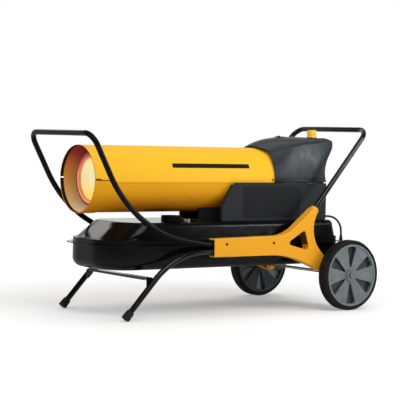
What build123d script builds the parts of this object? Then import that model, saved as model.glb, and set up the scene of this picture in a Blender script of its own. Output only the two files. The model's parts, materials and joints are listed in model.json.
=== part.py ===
from build123d import *
import os
from math import cos, radians, sin, sqrt, tan

# Forced air heater on two wheels: an oil burner in a round barrel, fired by a fan and
# an air pump under a moulded hood, standing on a pressed-steel fuel tank that hangs
# between two moulded side brackets.  Millimetres, +Z up, +X to the heater's right,
# -Y to the hot nozzle.  The origin is on the floor under the middle of the part.

os.makedirs("parts", exist_ok=True)

# ---------------------------------------------------------------- driving dimensions
# Barrel
barrel_z = 463.6          # height of the barrel's axis
shell_r = 116.0           # upper shell, outside
sheet = 1.5               # barrel sheet
seam_gap = 0.5            # lower shell inside the upper shell's skirt
skirt = 7.5               # how far the upper shell's straight skirt hangs down
barrel_front_y = -525.0
upper_rear_y = 250.0
lower_rear_y = 54.0
slot_height = 4.5         # open slots at the front of the seam
slot_length = 24.0
slit_height = 1.1         # narrow slits behind them
slit_length = 60.0
rim_bead = 3.0            # rolled edge at the mouth

# Combustion chamber
chamber_gap = 24.0        # chamber inside the barrel's outer face
chamber_set = 49.0        # chamber behind the barrel's mouth
chamber_rear_y = -40.0
chamber_wall = 1.6
chamber_lip = 16.0        # width of the turned-in front lip
chamber_lip_depth = 9.0
air_hole_r = 7.0
strap_width = 18.0        # straps between the chamber and the barrel
strap_sheet = 2.0
strap_front_set = 60.0    # straps behind the chamber's mouth
strap_rear_set = 40.0     # and ahead of its rear
baffle_gap = 26.0         # baffle's edge inside the chamber's wall
baffle_set = 24.0         # baffle behind the chamber's lip
baffle_dish_r = 180.0
strut_width = 14.0

# Burner
head_sheet = 2.0
head_share = 0.5          # cup in the middle of the burner's plate, against the chamber
head_depth = 34.0
swirl_slots = 8
nozzle_r = 7.0
nozzle_hex_r = 10.0
nozzle_hex_length = 18.0
electrode_r = 2.0
electrode_x = 16.0
electrode_z = 16.0
photocell_r = 9.0
photocell_drop = 26.0     # flame sensor below the nozzle
pipe_r = 3.0              # fuel and air pipes

# Fan, motor and air pump, all on the barrel's axis
shaft_r = 5.0
shaft_out = 13.0          # shaft ahead of the fan's hub
fan_set = 32.0            # fan's middle behind the lower shell
fan_hub_r = 21.0
fan_hub_length = 26.0
fan_tip_set = 15.0        # blade tips inside the barrel's size
fan_blades = 6
blade_thickness = 2.0
blade_root_chord = 30.0
blade_middle_chord = 50.0
blade_tip_chord = 62.0
tip_gap = 6.5             # fan in its shroud
shroud_wall = 1.5
shroud_length = 61.0
motor_set = 29.0          # motor behind the fan's hub
motor_r = 57.0
motor_length = 118.0
bell_length = 12.0
pump_r = 40.0
pump_length = 32.0
pump_end = 4.0            # end walls of the pump
pump_bore_r = 24.0
pump_offset = 2.5         # bore above the shaft
rotor_r = 21.0
vane_count = 4
vane_sheet = 3.0
filter_r = 44.0
filter_length = 30.0
cradle_foot = 24.0        # motor cradle's feet
cradle_set = 22.0         # cradle inside the motor's ends
saddle_length = 94.0      # barrel's saddle on the tank
saddle_set = 20.0         # and its distance from the lower shell's end
dial_r = 13.0
run_fit = 0.06            # shafts in their bearings
bench_gap = 0.3           # clearance round pieces that are put in by hand

# Lower housing and hood
cover_x = 132.0           # outside of the side covers
cover_sheet = 2.0
cover_top_z = 455.0
cover_rear_y = 466.0
cover_lap = 66.0          # covers ahead of the lower shell's end
cover_rake = 50.0         # their slanted front edge, along Y
cover_nose = 50.0         # height of the short upright front edge
cover_flange = 14.0
hood_wall = 3.0
hood_gap = 4.0            # groove between the covers and the hood
hood_lap = 44.0           # hood's visor over the barrel's end
hood_flank_set = 25.5     # hood's flanks behind the visor's edge
hood_skirt_x = 118.0      # skirt that stands over the covers' folded edge
hood_lip_gap = 3.0
hood_overhang = 34.0      # hood behind the covers, before its edge is trimmed
hood_top_z = 622.0
rear_panel_set = 12.0     # rear panel ahead of the covers' rear edge
rear_panel_sheet = 2.0
intake_r = 98.0
guard_wire_r = 1.4
guard_rings = 6
ignition_width = 54.0
ignition_height = 62.0
ignition_length = 100.0

# Fuel tank
tank_half_width = 165.0
tank_front_y = -492.0
tank_rear_y = 504.0
tank_front_corner = 118.0
tank_rear_corner = 26.0
tank_seam_z = 244.5
tank_bottom_z = 160.0
tank_bottom_r = 32.0
tank_band = 17.5          # straight band above the seam
tank_deck_z = 320.0
tank_deck_r = 17.0        # rounding of the deck's edge
tank_sheet = 1.6
flange_out = 22.0
flange_rear_out = 3.0
drain_y = 380.0
drain_r = 7.0
cap_in = 55.0             # filler inside the tank's wall
cap_y = -212.0
cap_r = 36.0
cap_height = 22.0
cap_notches = 24
neck_r = 24.0
neck_wall = 2.0
neck_height = 12.0
liner_sheet = 3.0
gauge_in = 61.0
gauge_y = -151.0
gauge_r = 20.0
gauge_height = 10.0
gauge_wall = 5.0
gauge_rod_r = 2.5
float_r = 14.0
float_height = 26.0
float_travel = 90.0
pickup_x = -88.0
pickup_y = 34.0
strainer_r = 9.0

# Tube frame
tube_r = 9.5
leg_r = 10.0
tube_wall = 1.6
tube_stand = 18.5         # centre plane of the side tubes beyond the tank's flange
tube_corner_r = 45.0
front_bar_y = -595.3
front_bar_z = 619.0
front_knee_y = -424.0
front_knee_z = 296.0
front_knee_r = 425.0
front_rise_y = -128.0
front_rise_r = 200.0
front_tube_z = 247.5
rear_bar_y = 595.3
rear_bar_z = 655.0
rear_tube_angle = 49.6    # from the horizontal
rear_tube_end_z = 302.0
leg_z = 222.0
leg_knee_y = -256.6
leg_knee_r = 280.0
leg_angle = 47.4
leg_end_z = 15.0
tube_back_y = 165.0       # where the front tubes end inside the brackets
foot_r = 15.0
foot_length = 30.0
foot_flat = 2.5           # depth of the flat on which the foot stands
brace_y = -351.0
brace_z = 140.0
brace_width = 28.0
brace_sheet = 3.0
brace_lip = 9.0           # folded front edge
brace_tab = 36.0          # ends bent down along the legs
brace_tab_foot = 11.0     # width of their lower ends
brace_bend_r = 15.0

# Side brackets
bracket_cover = 16.5      # outer face beyond the tubes' centre plane
bracket_wall = 4.0
bracket_edge = 3.0        # depth of the softened outer edge
bracket_front_y = -105.0
bracket_bottom_z = 203.0
socket_r = 15.0           # round socket of the rear handle
socket_top_z = 367.0
bore_gap = 0.25           # tube in the bracket's ribs
screw_r = 2.5
screw_head_r = 4.6
screw_head = 2.6
front_screw_y = -55.0
rear_screw_y = 152.0

# Wheels
wheel_r = 127.0
tyre_width = 43.0
tyre_depth = 19.0         # rubber over the rim's seat
sidewall = 14.0           # rubber over the rim's lip
spacer_length = 17.0
spacer_r = 14.0
wheel_axis_y = 467.0
rim_ring = 8.0            # width of the rim's ring
bead = 4.0
hub_boss_r = 21.0
hub_boss_out = 4.0        # boss beyond the inner face
hub_web = 6.0
spoke_count = 6
spoke_set = 3.0           # spokes' face below the rim's
spoke_dish = 7.0          # dish of the spokes towards the boss
pocket_angle = 13.0       # half the angle of a pocket at the rim
axle_r = 6.0
axle_boss_r = 20.0
cap_nut_r = 11.0
cap_nut_height = 6.0

# Controls
knob_x = 70.0
knob_y = 440.0
knob_r = 17.5
knob_height = 27.0
knob_seat_z = 622.5
knob_ribs = 12
stem_r = 3.0
bush_r = 5.0
thermostat_depth = 34.0
thermostat_height = 26.0
switch_x = 0.0
switch_y = 345.0
switch_seat_z = 619.2
switch_half_x = 9.0
switch_half_y = 11.5
switch_wall = 2.0
switch_pin_r = 1.2

# Mains pigtail
cord_r = 3.8
cord_x = 100.0
cord_z = 331.0
gland_r = 9.0
gland_length = 36.0
cord_route = [(cord_x, 490.0, 331.0), (cord_x, 514.0, 331.0), (cord_x, 539.0, 323.0),
              (cord_x, 559.0, 307.0), (cord_x, 571.0, 284.0), (cord_x, 571.0, 258.5)]
plug_neck = 26.0
plug_body = 34.0
plug_half = 13.5

# ---------------------------------------------------------------- worked-out places
lower_r = shell_r - sheet - seam_gap
chamber_r = shell_r - chamber_gap
chamber_mouth_r = chamber_r - chamber_lip
baffle_r = chamber_r - baffle_gap
head_r = chamber_r * head_share
fan_tip_r = shell_r - fan_tip_set
rim_seat_r = wheel_r - tyre_depth
rim_lip_r = wheel_r - sidewall
rim_inner_r = rim_lip_r - rim_ring
cap_x = tank_half_width - cap_in
gauge_x = tank_half_width - gauge_in
chamber_front_y = barrel_front_y + chamber_set
baffle_y = chamber_front_y + baffle_set
fan_y = lower_rear_y + fan_set
shroud_r = fan_tip_r + tip_gap + shroud_wall
shroud_front_y = lower_rear_y + 1.0
shroud_rear_y = shroud_front_y + shroud_length
motor_front_y = fan_y + fan_hub_length / 2 + motor_set
motor_rear_y = motor_front_y + motor_length
pump_rear_y = motor_rear_y + pump_length
filter_rear_y = pump_rear_y + filter_length
nozzle_rear_y = chamber_rear_y + head_depth + nozzle_hex_length
cover_bottom_z = tank_deck_z
cover_front_y = lower_rear_y - cover_lap
hood_front_y = upper_rear_y - hood_lap
hood_rear_y = cover_rear_y + hood_overhang
hood_bottom_z = cover_top_z + hood_gap
rear_panel_y = cover_rear_y - rear_panel_set - rear_panel_sheet
panel_back_y = rear_panel_y + rear_panel_sheet
tank_band_z = tank_seam_z + tank_band
neck_top_z = tank_deck_z + neck_height
float_top_z = tank_deck_z - tank_sheet - 14.0
bracket_inner_x = tank_half_width + flange_out
frame_x = bracket_inner_x + tube_stand
bracket_outer_x = frame_x + bracket_cover
wheel_inner_x = bracket_outer_x + spacer_length + hub_boss_out
wheel_outer_x = wheel_inner_x + tyre_width
axle_z = wheel_r

# ---------------------------------------------------------------- small helpers
nodes = {}


def keep(name, shape):
    """Name a finished piece; every solid in it is written to one file."""
    nodes[name] = shape


def across(y):
    """Plane across the barrel at y: local x is X, local y is Z."""
    return Plane(origin=(0, y, 0), x_dir=(1, 0, 0), z_dir=(0, -1, 0))


def side(x):
    """Plane beside the heater at x: local x is Y, local y is Z."""
    return Plane(origin=(x, 0, 0), x_dir=(0, 1, 0), z_dir=(1, 0, 0))


def box(x0, x1, y0, y1, z0, z1):
    """Box between two corners."""
    centre = ((x0 + x1) / 2, (y0 + y1) / 2, (z0 + z1) / 2)
    return Pos(*centre) * Box(x1 - x0, y1 - y0, z1 - z0)


def disc_y(r, y0, y1, x=0.0, z=barrel_z):
    """Cylinder along Y."""
    return Pos(x, (y0 + y1) / 2, z) * Rot(90, 0, 0) * Cylinder(r, y1 - y0)


def disc_x(r, x0, x1, y, z):
    """Cylinder along X."""
    return Pos((x0 + x1) / 2, y, z) * Rot(0, 90, 0) * Cylinder(r, x1 - x0)


def disc_z(r, z0, z1, x, y):
    """Cylinder along Z."""
    return Pos(x, y, (z0 + z1) / 2) * Cylinder(r, z1 - z0)


def ring_y(r_out, r_in, y0, y1, x=0.0, z=barrel_z):
    """Pipe along Y."""
    return disc_y(r_out, y0, y1, x, z) - disc_y(r_in, y0 - 1, y1 + 1, x, z)


def ring_x(r_out, r_in, x0, x1, y, z):
    """Pipe along X."""
    return disc_x(r_out, x0, x1, y, z) - disc_x(r_in, x0 - 1, x1 + 1, y, z)


def ring_z(r_out, r_in, z0, z1, x, y):
    """Pipe along Z."""
    return disc_z(r_out, z0, z1, x, y) - disc_z(r_in, z0 - 1, z1 + 1, x, y)


def about_barrel(angle, shape):
    """Turn a shape, drawn round the origin, about the barrel's axis and put it there."""
    return Pos(0, 0, barrel_z) * Rot(0, angle, 0) * shape


def rod(start, end, r):
    """Round bar between two points."""
    run = Vector(*end) - Vector(*start)
    return extrude(Plane(origin=start, z_dir=run) * Circle(r), amount=run.length)


def bent_bar(points, radii, r):
    """Round bar swept along straight runs and tangent arcs."""
    path = FilletPolyline(*points, radius=radii)
    return sweep(Plane(origin=path @ 0, z_dir=path % 0) * Circle(r), path=path)


def bent_tube(points, radii, r_out, r_in):
    """Open-ended tube swept along straight runs and tangent arcs."""
    path = FilletPolyline(*points, radius=radii)
    start = Plane(origin=path @ 0, z_dir=path % 0)
    return sweep(start * (Circle(r_out) - Circle(r_in)), path=path)


def mirrored(shape):
    """The same piece on the other side of the heater."""
    return mirror(shape, about=Plane.YZ)


def group(*shapes):
    """Separate solids that share one node."""
    return Compound(children=[solid for shape in shapes for solid in shape.solids()])


# ---------------------------------------------------------------- barrel
def make_upper_shell():
    """Half-round sheet with straight skirts that lap over the lower shell."""
    def arch(r, y0, y1):
        top = disc_y(r, y0, y1) & box(-r, r, y0, y1, barrel_z, barrel_z + r)
        return top + box(-r, r, y0, y1, barrel_z - skirt, barrel_z)
    shell = arch(shell_r, barrel_front_y, upper_rear_y)
    shell -= arch(shell_r - sheet, barrel_front_y - 1, upper_rear_y + 1)
    shell -= box(-shell_r + sheet, shell_r - sheet, barrel_front_y - 1, upper_rear_y + 1,
                 barrel_z - skirt - 1, barrel_z)
    bead_y = barrel_front_y + rim_bead
    rolled = ring_y(shell_r, shell_r - sheet - 1.5, barrel_front_y, bead_y)
    shell += rolled & box(-shell_r, shell_r, barrel_front_y, bead_y,
                          barrel_z + slot_height, barrel_z + shell_r)
    return shell - seam_slots()


def seam_slots():
    """Open slots at the front of the seam and the slits behind them, on both sides."""
    slots = box(-shell_r - 2, shell_r + 2, barrel_front_y - 1, barrel_front_y + slit_length,
                barrel_z - skirt - 1, barrel_z + slit_height)
    return slots + box(-shell_r - 2, shell_r + 2, barrel_front_y - 1,
                       barrel_front_y + slot_length, barrel_z, barrel_z + slot_height)


def make_lower_shell():
    """Lower half-round sheet, nested inside the upper shell's skirts."""
    def trough(r, y0, y1):
        return disc_y(r, y0, y1) & box(-r, r, y0, y1, barrel_z - r, barrel_z)
    shell = trough(lower_r, barrel_front_y, lower_rear_y)
    # where the skirts are cut away the sheet is swaged out to the upper shell's size
    shell += trough(shell_r, barrel_front_y, barrel_front_y + slit_length - 1)
    shell -= disc_y(lower_r - sheet, barrel_front_y - 1, lower_rear_y + 1)
    for x, y in ((pickup_x, pickup_y), (air_x, air_riser_y)):
        shell -= disc_z(pipe_r + 2 * bench_gap, cover_bottom_z, barrel_z, x, y)
    return shell


def make_chamber():
    """Thin steel can with a turned-in front lip and air holes round its rear."""
    def lip_circle(y, r):
        return across(y) * (Pos(0, barrel_z) * Circle(r))
    throat_y = chamber_front_y + chamber_lip_depth
    inner_r = chamber_mouth_r - chamber_wall
    can = ring_y(chamber_r, chamber_r - chamber_wall, chamber_front_y, chamber_rear_y)
    can += extrude(lip_circle(chamber_front_y, chamber_r) - lip_circle(chamber_front_y, inner_r),
                   amount=-chamber_wall)
    throat = loft([lip_circle(chamber_front_y, chamber_mouth_r),
                   lip_circle(throat_y, chamber_mouth_r - 2)])
    throat -= loft([lip_circle(chamber_front_y, inner_r), lip_circle(throat_y, inner_r - 2)])
    can += throat
    for turn in range(4):
        spoke = extrude(Plane.XY * Circle(air_hole_r), amount=chamber_r + 5)
        can -= Pos(0, chamber_rear_y - 80, 0) * about_barrel(45 + 90 * turn, spoke)
    return can


def make_chamber_brackets():
    """Bent straps that hang the chamber in the barrel, three at each end."""
    straps = []
    inner_r = chamber_r + bench_gap
    half = strap_width / 2
    for y in (chamber_front_y + strap_front_set, chamber_rear_y - strap_rear_set):
        for angle in (90, 215, 325):
            wall_r = shell_r if angle == 90 else lower_r
            strap = box(inner_r, wall_r - sheet - bench_gap, y - half, y + half,
                        -strap_sheet / 2, strap_sheet / 2)
            straps.append(about_barrel(-angle, strap))
    return group(*straps)


def make_flame_baffle():
    """Dished disc in the chamber's mouth on three radial struts."""
    drop = baffle_dish_r - sqrt(baffle_dish_r ** 2 - baffle_r ** 2)
    outer = Pos(0, baffle_y + baffle_dish_r, barrel_z) * Sphere(baffle_dish_r)
    inner = Pos(0, baffle_y + baffle_dish_r + head_sheet, barrel_z) * Sphere(baffle_dish_r)
    disc = (outer - inner) & disc_y(baffle_r, baffle_y - 1, baffle_y + drop + head_sheet)
    reach = chamber_r - chamber_wall - bench_gap
    strut = box(baffle_r - 8, reach, baffle_y + drop, baffle_y + drop + head_sheet,
                -strut_width / 2, strut_width / 2)
    for angle in (30, 150, 270):
        disc += about_barrel(-angle, strut)
    return disc


def make_burner_head():
    """Rear plate of the chamber with a cup, a centre bore and swirl slots."""
    cup_y = chamber_rear_y + head_depth
    floor_y = cup_y - head_sheet
    head = disc_y(chamber_r, chamber_rear_y, chamber_rear_y + head_sheet)
    head -= disc_y(head_r - head_sheet, chamber_rear_y - 1, chamber_rear_y + head_sheet + 1)
    head += ring_y(head_r, head_r - head_sheet, chamber_rear_y, cup_y)
    head += disc_y(head_r, floor_y, cup_y)
    head -= disc_y(nozzle_r + bench_gap, floor_y - 1, cup_y + 1)
    slot = box(head_r + 8, chamber_r - 12, chamber_rear_y - 1, chamber_rear_y + head_sheet + 1,
               -3, 3)
    for turn in range(swirl_slots):
        head -= about_barrel(360 / swirl_slots * turn + 12, slot)
    for x in (-electrode_x, electrode_x):
        head -= disc_y(electrode_r + bench_gap, floor_y - 1, cup_y + 1, x, barrel_z + electrode_z)
    return head - disc_y(photocell_r + bench_gap, floor_y - 1, cup_y + 1, 0,
                         barrel_z - photocell_drop)


def make_fuel_nozzle():
    """Hexagonal nozzle body against the burner's cup, its tip turned down to a cone."""
    cup_y = chamber_rear_y + head_depth
    hexagon = extrude(across(nozzle_rear_y) * (Pos(0, barrel_z) * RegularPolygon(nozzle_hex_r, 6)),
                      nozzle_hex_length)
    tip = disc_y(nozzle_r, cup_y - 20, cup_y)
    cone = loft([across(cup_y - 20) * (Pos(0, barrel_z) * Circle(nozzle_r)),
                 across(cup_y - 27) * (Pos(0, barrel_z) * Circle(2.5))])
    return hexagon + tip + cone


def make_igniter():
    """Two ceramic rods with bent steel tips over the nozzle."""
    parts = []
    cup_y = chamber_rear_y + head_depth
    z = barrel_z + electrode_z
    for x in (-electrode_x, electrode_x):
        ceramic = disc_y(2 * electrode_r, cup_y, cup_y + 28, x, z)
        wire = bent_bar([(x, cup_y, z), (x, cup_y - 22, z), (x * 0.2, cup_y - 31, z - 6)],
                        [3.0], electrode_r - 0.6)
        parts.append(ceramic + wire)
    return group(*parts)


def make_photocell():
    """Flame sensor in its sleeve under the nozzle."""
    cup_y = chamber_rear_y + head_depth
    z = barrel_z - photocell_drop
    body = disc_y(photocell_r, cup_y - 8, cup_y + 26, 0, z)
    rim = disc_y(photocell_r + 3, cup_y, cup_y + 4, 0, z)
    return body + rim - disc_y(photocell_r - 3, cup_y - 9, cup_y - 4, 0, z)


# ---------------------------------------------------------------- fan, motor, pump
def blade_section(radius, pitch, chord):
    """Cambered band across one blade at a radius, pitched from the fan's plane."""
    camber = 0.10 * chord
    half = chord / 2
    t = blade_thickness
    outline = Polyline((half, 0), (half, t))
    outline += ThreePointArc((half, t), (0, camber + t), (-half, t))
    outline += Line((-half, t), (-half, 0))
    outline += ThreePointArc((-half, 0), (0, camber), (half, 0))
    tilt = radians(pitch)
    plane = Plane(origin=(radius, 0, 0), x_dir=(0, sin(tilt), cos(tilt)), z_dir=(1, 0, 0))
    return plane * make_face(outline)


def make_fan():
    """Axial fan: twisted, tapering blades lofted from a hub that clamps on the shaft."""
    hub = disc_y(fan_hub_r, -fan_hub_length / 2, fan_hub_length / 2, 0, 0)
    wheel = fillet(hub.edges().group_by(Axis.Y)[0], 5)
    blade = loft([blade_section(fan_hub_r - 4, 52, blade_root_chord),
                  blade_section((fan_hub_r + fan_tip_r) / 2, 36, blade_middle_chord),
                  blade_section(fan_tip_r + 3, 25, blade_tip_chord)])
    blade &= ring_y(fan_tip_r, fan_hub_r - 3, -30, 30, 0, 0)
    for turn in range(fan_blades):
        wheel += Rot(0, 360 / fan_blades * turn, 0) * blade
    wheel -= disc_y(shaft_r, -fan_hub_length, fan_hub_length, 0, 0)
    return Pos(0, fan_y, barrel_z) * wheel


def make_motor_shaft():
    """One shaft for the fan, the motor and the pump's rotor."""
    return disc_y(shaft_r, fan_y - fan_hub_length / 2 - shaft_out, pump_rear_y - pump_end)


def make_motor():
    """Motor can with end bells, cooling slots and open bearings."""
    front, rear = motor_front_y, motor_rear_y
    body = disc_y(motor_r - 3, front, rear) + disc_y(motor_r, front + bell_length,
                                                    rear - bell_length)
    slot = box(motor_r - 6, motor_r + 2, front + 20, rear - 20, -2, 2)
    for turn in range(10):
        body -= about_barrel(36 * turn + 18, slot)
    return body - disc_y(shaft_r + run_fit, front - 1, rear + 1)


cradle_half = motor_r - 11.0


def make_motor_bracket():
    """Cradle of bent sheet that carries the motor from the tank's deck."""
    wall = 3.0
    y0 = motor_front_y + cradle_set
    y1 = motor_rear_y - cradle_set
    top = barrel_z - 25
    foot = cradle_half + cradle_foot
    base = box(-foot, foot, y0, y1, tank_deck_z, tank_deck_z + wall)
    for end in (-1, 1):
        cheek = box(cradle_half - wall, cradle_half, y0, y1, tank_deck_z, top)
        base += cheek if end > 0 else mirrored(cheek)
    saddle = ring_y(motor_r + bench_gap + wall, motor_r + bench_gap, y0, y1)
    saddle &= box(-cradle_half, cradle_half, y0, y1, barrel_z - motor_r - 5, top)
    return base - disc_y(motor_r + bench_gap, y0 - 1, y1 + 1) + saddle


def make_pump_body():
    """Air pump ring with an eccentric bore, bolted on the motor's rear bell."""
    front, rear = motor_rear_y, pump_rear_y
    body = disc_y(pump_r, front, rear)
    body -= disc_y(pump_bore_r, front + pump_end, rear - pump_end, 0, barrel_z + pump_offset)
    body -= disc_y(shaft_r + run_fit, front - 1, front + pump_end + 1)
    return body - disc_y(pump_bore_r - 8, rear - pump_end - 1, rear + 1)


def make_pump_rotor():
    """Slotted rotor on the end of the motor's shaft, with its vanes in the slots."""
    y0 = motor_rear_y + pump_end + bench_gap
    y1 = pump_rear_y - pump_end - bench_gap
    rotor = disc_y(rotor_r, y0, y1)
    slot = box(shaft_r + 3, rotor_r + 1, y0 - 1, y1 + 1, -vane_sheet / 2, vane_sheet / 2)
    blade = vane_sheet / 2 - 0.1
    vane = box(shaft_r + 3.2, rotor_r - 0.2, y0, y1, -blade, blade)
    vanes = []
    for turn in range(vane_count):
        angle = 360 / vane_count * (turn + 0.5)
        rotor -= about_barrel(angle, slot)
        vanes.append(about_barrel(angle, vane))
    return group(rotor - disc_y(shaft_r, y0 - 1, y1 + 1), *vanes)


def make_filter_cover():
    """Ribbed end cover that holds the pump's intake and output filters."""
    cover = disc_y(filter_r, pump_rear_y, filter_rear_y)
    cover = fillet(cover.edges().group_by(Axis.Y)[-1], 6)
    groove = box(filter_r - 3, filter_r + 2, pump_rear_y + 6, filter_rear_y - 8, -2, 2)
    for turn in range(12):
        cover -= about_barrel(30 * turn + 15, groove)
    return cover - disc_y(pump_bore_r / 2, pump_rear_y - 1, pump_rear_y + 6)


def make_pressure_gauge():
    """Small dial on the end cover, where the pump's pressure is read."""
    x, z = dial_r + 1, barrel_z - dial_r - 1
    case = disc_y(dial_r, filter_rear_y, filter_rear_y + 9, x, z)
    case -= disc_y(dial_r - 2, filter_rear_y + 7, filter_rear_y + 10, x, z)
    return case + disc_y(1.5, filter_rear_y + 6, filter_rear_y + 8, x, z)


def make_fan_shroud():
    """Short duct round the fan on a plate between the side covers."""
    inside_x = cover_x - cover_sheet - bench_gap
    plate_back_y = shroud_front_y + cover_sheet
    plate = box(-inside_x, inside_x, shroud_front_y, plate_back_y,
                cover_bottom_z + cover_sheet + bench_gap, cover_top_z - cover_sheet - bench_gap)
    plate += disc_y(shroud_r, shroud_front_y, shroud_rear_y)
    plate -= disc_y(shroud_r - shroud_wall, shroud_front_y - 1, shroud_rear_y + 1)
    return plate - disc_y(pipe_r + 2 * bench_gap, shroud_front_y - 1, plate_back_y + 1,
                          air_x, air_run_z)


def make_barrel_support():
    """Pressed saddle between the tank's deck and the lower shell."""
    wall = 3.0
    y1 = lower_rear_y - saddle_set
    y0 = y1 - saddle_length
    half = shell_r / 2 + 2
    stand = box(-half - 14, half + 14, y0, y1, tank_deck_z, tank_deck_z + wall)
    stand += box(-half, half, y0, y1, tank_deck_z, barrel_z - half)
    stand -= box(-half + wall, half - wall, y0 - 1, y1 - wall, tank_deck_z + wall, barrel_z)
    return stand - disc_y(lower_r + bench_gap, y0 - 1, y1 + 1)


# ---------------------------------------------------------------- housing
def cover_outline(inset=0.0):
    """Side view of a lower side cover, drawn in by an inset."""
    front, rear = cover_front_y + inset, cover_rear_y - inset
    bottom, top = cover_bottom_z + inset, cover_top_z - inset
    points = [(front, bottom), (front, bottom + cover_nose - inset * 0.7),
              (cover_front_y + cover_rake + inset * 0.8, top), (rear, top), (rear, bottom)]
    return FilletPolyline(*points, radius=5, close=True)


def make_side_cover():
    """Flat sheet cover with its edges folded inwards."""
    skin = extrude(side(cover_x - cover_flange) * make_face(cover_outline()), cover_flange)
    hollow = side(cover_x - cover_flange - 1) * make_face(cover_outline(cover_sheet))
    skin -= extrude(hollow, cover_flange + 1 - cover_sheet)
    outer = skin.faces().sort_by(Axis.X)[-1]
    skin = fillet(outer.edges(), cover_sheet - 0.2)
    # the folded top edge stops where the barrel's skirts come down
    return skin - box(0, cover_x - cover_sheet - 0.5, cover_front_y, upper_rear_y + 4,
                      cover_top_z - cover_sheet - 4, cover_top_z + 1)


def hood_section(y, half_bottom, crease_x, crease_z, flank_in, top_z, shoulder, inset):
    """Arch across the hood: bottom, flanks, creases and a roof that squares up rearwards."""
    bottom = hood_bottom_z
    bx = half_bottom - inset
    cx = crease_x - inset * 0.75
    cz = crease_z - inset * 0.75
    tz = top_z - inset
    mid_x = (bx + cx) / 2 - flank_in
    mid_z = (bottom + cz) / 2
    outer_z = cz + (tz - cz) * shoulder
    inner_z = cz + (tz - cz) * (0.69 + 0.33 * shoulder)
    right = ThreePointArc((bx, bottom), (mid_x, mid_z), (cx, cz))
    roof = Spline((cx, cz), (cx * 0.86, outer_z), (cx * 0.5, inner_z), (0, tz),
                  (-cx * 0.5, inner_z), (-cx * 0.86, outer_z), (-cx, cz))
    left = ThreePointArc((-cx, cz), (-mid_x, mid_z), (-bx, bottom))
    floor = Line((-bx, bottom), (bx, bottom))
    return across(y) * make_face(right + roof + left + floor)


def hood_body(inset=0.0, reach=0.0):
    """Loft from the barrel's round section to the broad, creased rear."""
    front_r = shell_r + hood_lip_gap + hood_wall
    rise = front_r * sin(radians(48))
    spread = front_r * cos(radians(48))
    round_in = -(front_r * (1 - cos(radians(24)))) * 0.9
    length = hood_rear_y - hood_front_y
    top = hood_top_z
    stations = [
        (hood_front_y - reach, front_r, spread, barrel_z + rise, round_in,
         barrel_z + front_r, 0.29),
        (hood_front_y + 0.17 * length, cover_x - 8, cover_x - 40, top - 55, -8, top - 15, 0.34),
        (hood_front_y + 0.42 * length, cover_x - 4, cover_x - 28, top - 36, -1, top - 2, 0.40),
        (hood_front_y + 0.69 * length, cover_x - 1, cover_x - 18, top - 23, 4, top + 1, 0.52),
        (hood_rear_y + reach, cover_x, cover_x - 8, top - 11, 7, top, 0.80),
    ]
    return loft([hood_section(*station, inset) for station in stations])


def hood_rear_cutter():
    """Everything behind the hood's swept rear edge, seen from the side."""
    y, top, low = cover_rear_y, hood_top_z, hood_bottom_z - 8
    far, high = hood_rear_y + 60, hood_top_z + 12
    edge = Spline((y, low), (y + 2, top - 104), (y + 13, top - 76), (y + 27, top - 50),
                  (y + 32, top - 33), (y + 29, top - 14), (y + 20, top - 4), (y - 6, high))
    outline = edge + Polyline((y - 6, high), (far, high), (far, low), (y, low))
    return extrude(side(0) * make_face(outline), amount=cover_x + 60, both=True)


def hood_front_cutter():
    """Everything ahead of the visor's edge, seen from the side."""
    back = hood_front_y + hood_flank_set
    visor_z = barrel_z + shell_r + hood_lip_gap + hood_wall
    ahead, low = hood_front_y - 30, hood_bottom_z - 8
    edge = Spline((back, visor_z - 26), (back - 2, visor_z - 14), (back - 17, visor_z - 5),
                  (hood_front_y + 1, visor_z + 3))
    outline = edge + Polyline((hood_front_y + 1, visor_z + 3), (ahead, visor_z + 3), (ahead, low),
                              (back, low), (back, visor_z - 26))
    return extrude(side(0) * make_face(outline), amount=cover_x + 60, both=True)


def hood_skirt():
    """Ledges inside the hood's flanks with skirts down to the covers' folded edges."""
    y0, y1 = hood_front_y, rear_panel_y - bench_gap
    ledge_z = hood_bottom_z + 2
    within = hood_body(inset=hood_wall / 2)
    ledge = within & box(hood_skirt_x, cover_x, y0, y1, hood_bottom_z, ledge_z)
    skirt = box(hood_skirt_x, hood_skirt_x + 2, y0, y1, cover_top_z + bench_gap, ledge_z)
    return ledge + skirt


def make_hood():
    """Moulded hood: lofted shell, open underneath and at the swept rear edge."""
    hood = hood_body() + disc_z(knob_r + 1.5, hood_top_z - 30, knob_seat_z - bench_gap,
                                knob_x, knob_y)
    hood -= hood_body(inset=hood_wall, reach=4.0)
    skirt = hood_skirt()
    hood += skirt
    hood += mirrored(skirt)
    hood -= hood_rear_cutter()
    hood -= hood_front_cutter()
    hood -= disc_z(bush_r + bench_gap, hood_top_z - 40, knob_seat_z + 1, knob_x, knob_y)
    # seat and hole of the switch
    gap = bench_gap
    half_x, half_y = switch_half_x + gap, switch_half_y + gap
    hood -= box(switch_x - half_x, switch_x + half_x, switch_y - half_y, switch_y + half_y,
                hood_top_z - 30, hood_top_z + 10)
    flange = 3 + gap
    return hood - box(switch_x - half_x - flange, switch_x + half_x + flange,
                      switch_y - half_y - flange, switch_y + half_y + flange,
                      switch_seat_z, hood_top_z + 10)


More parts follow.
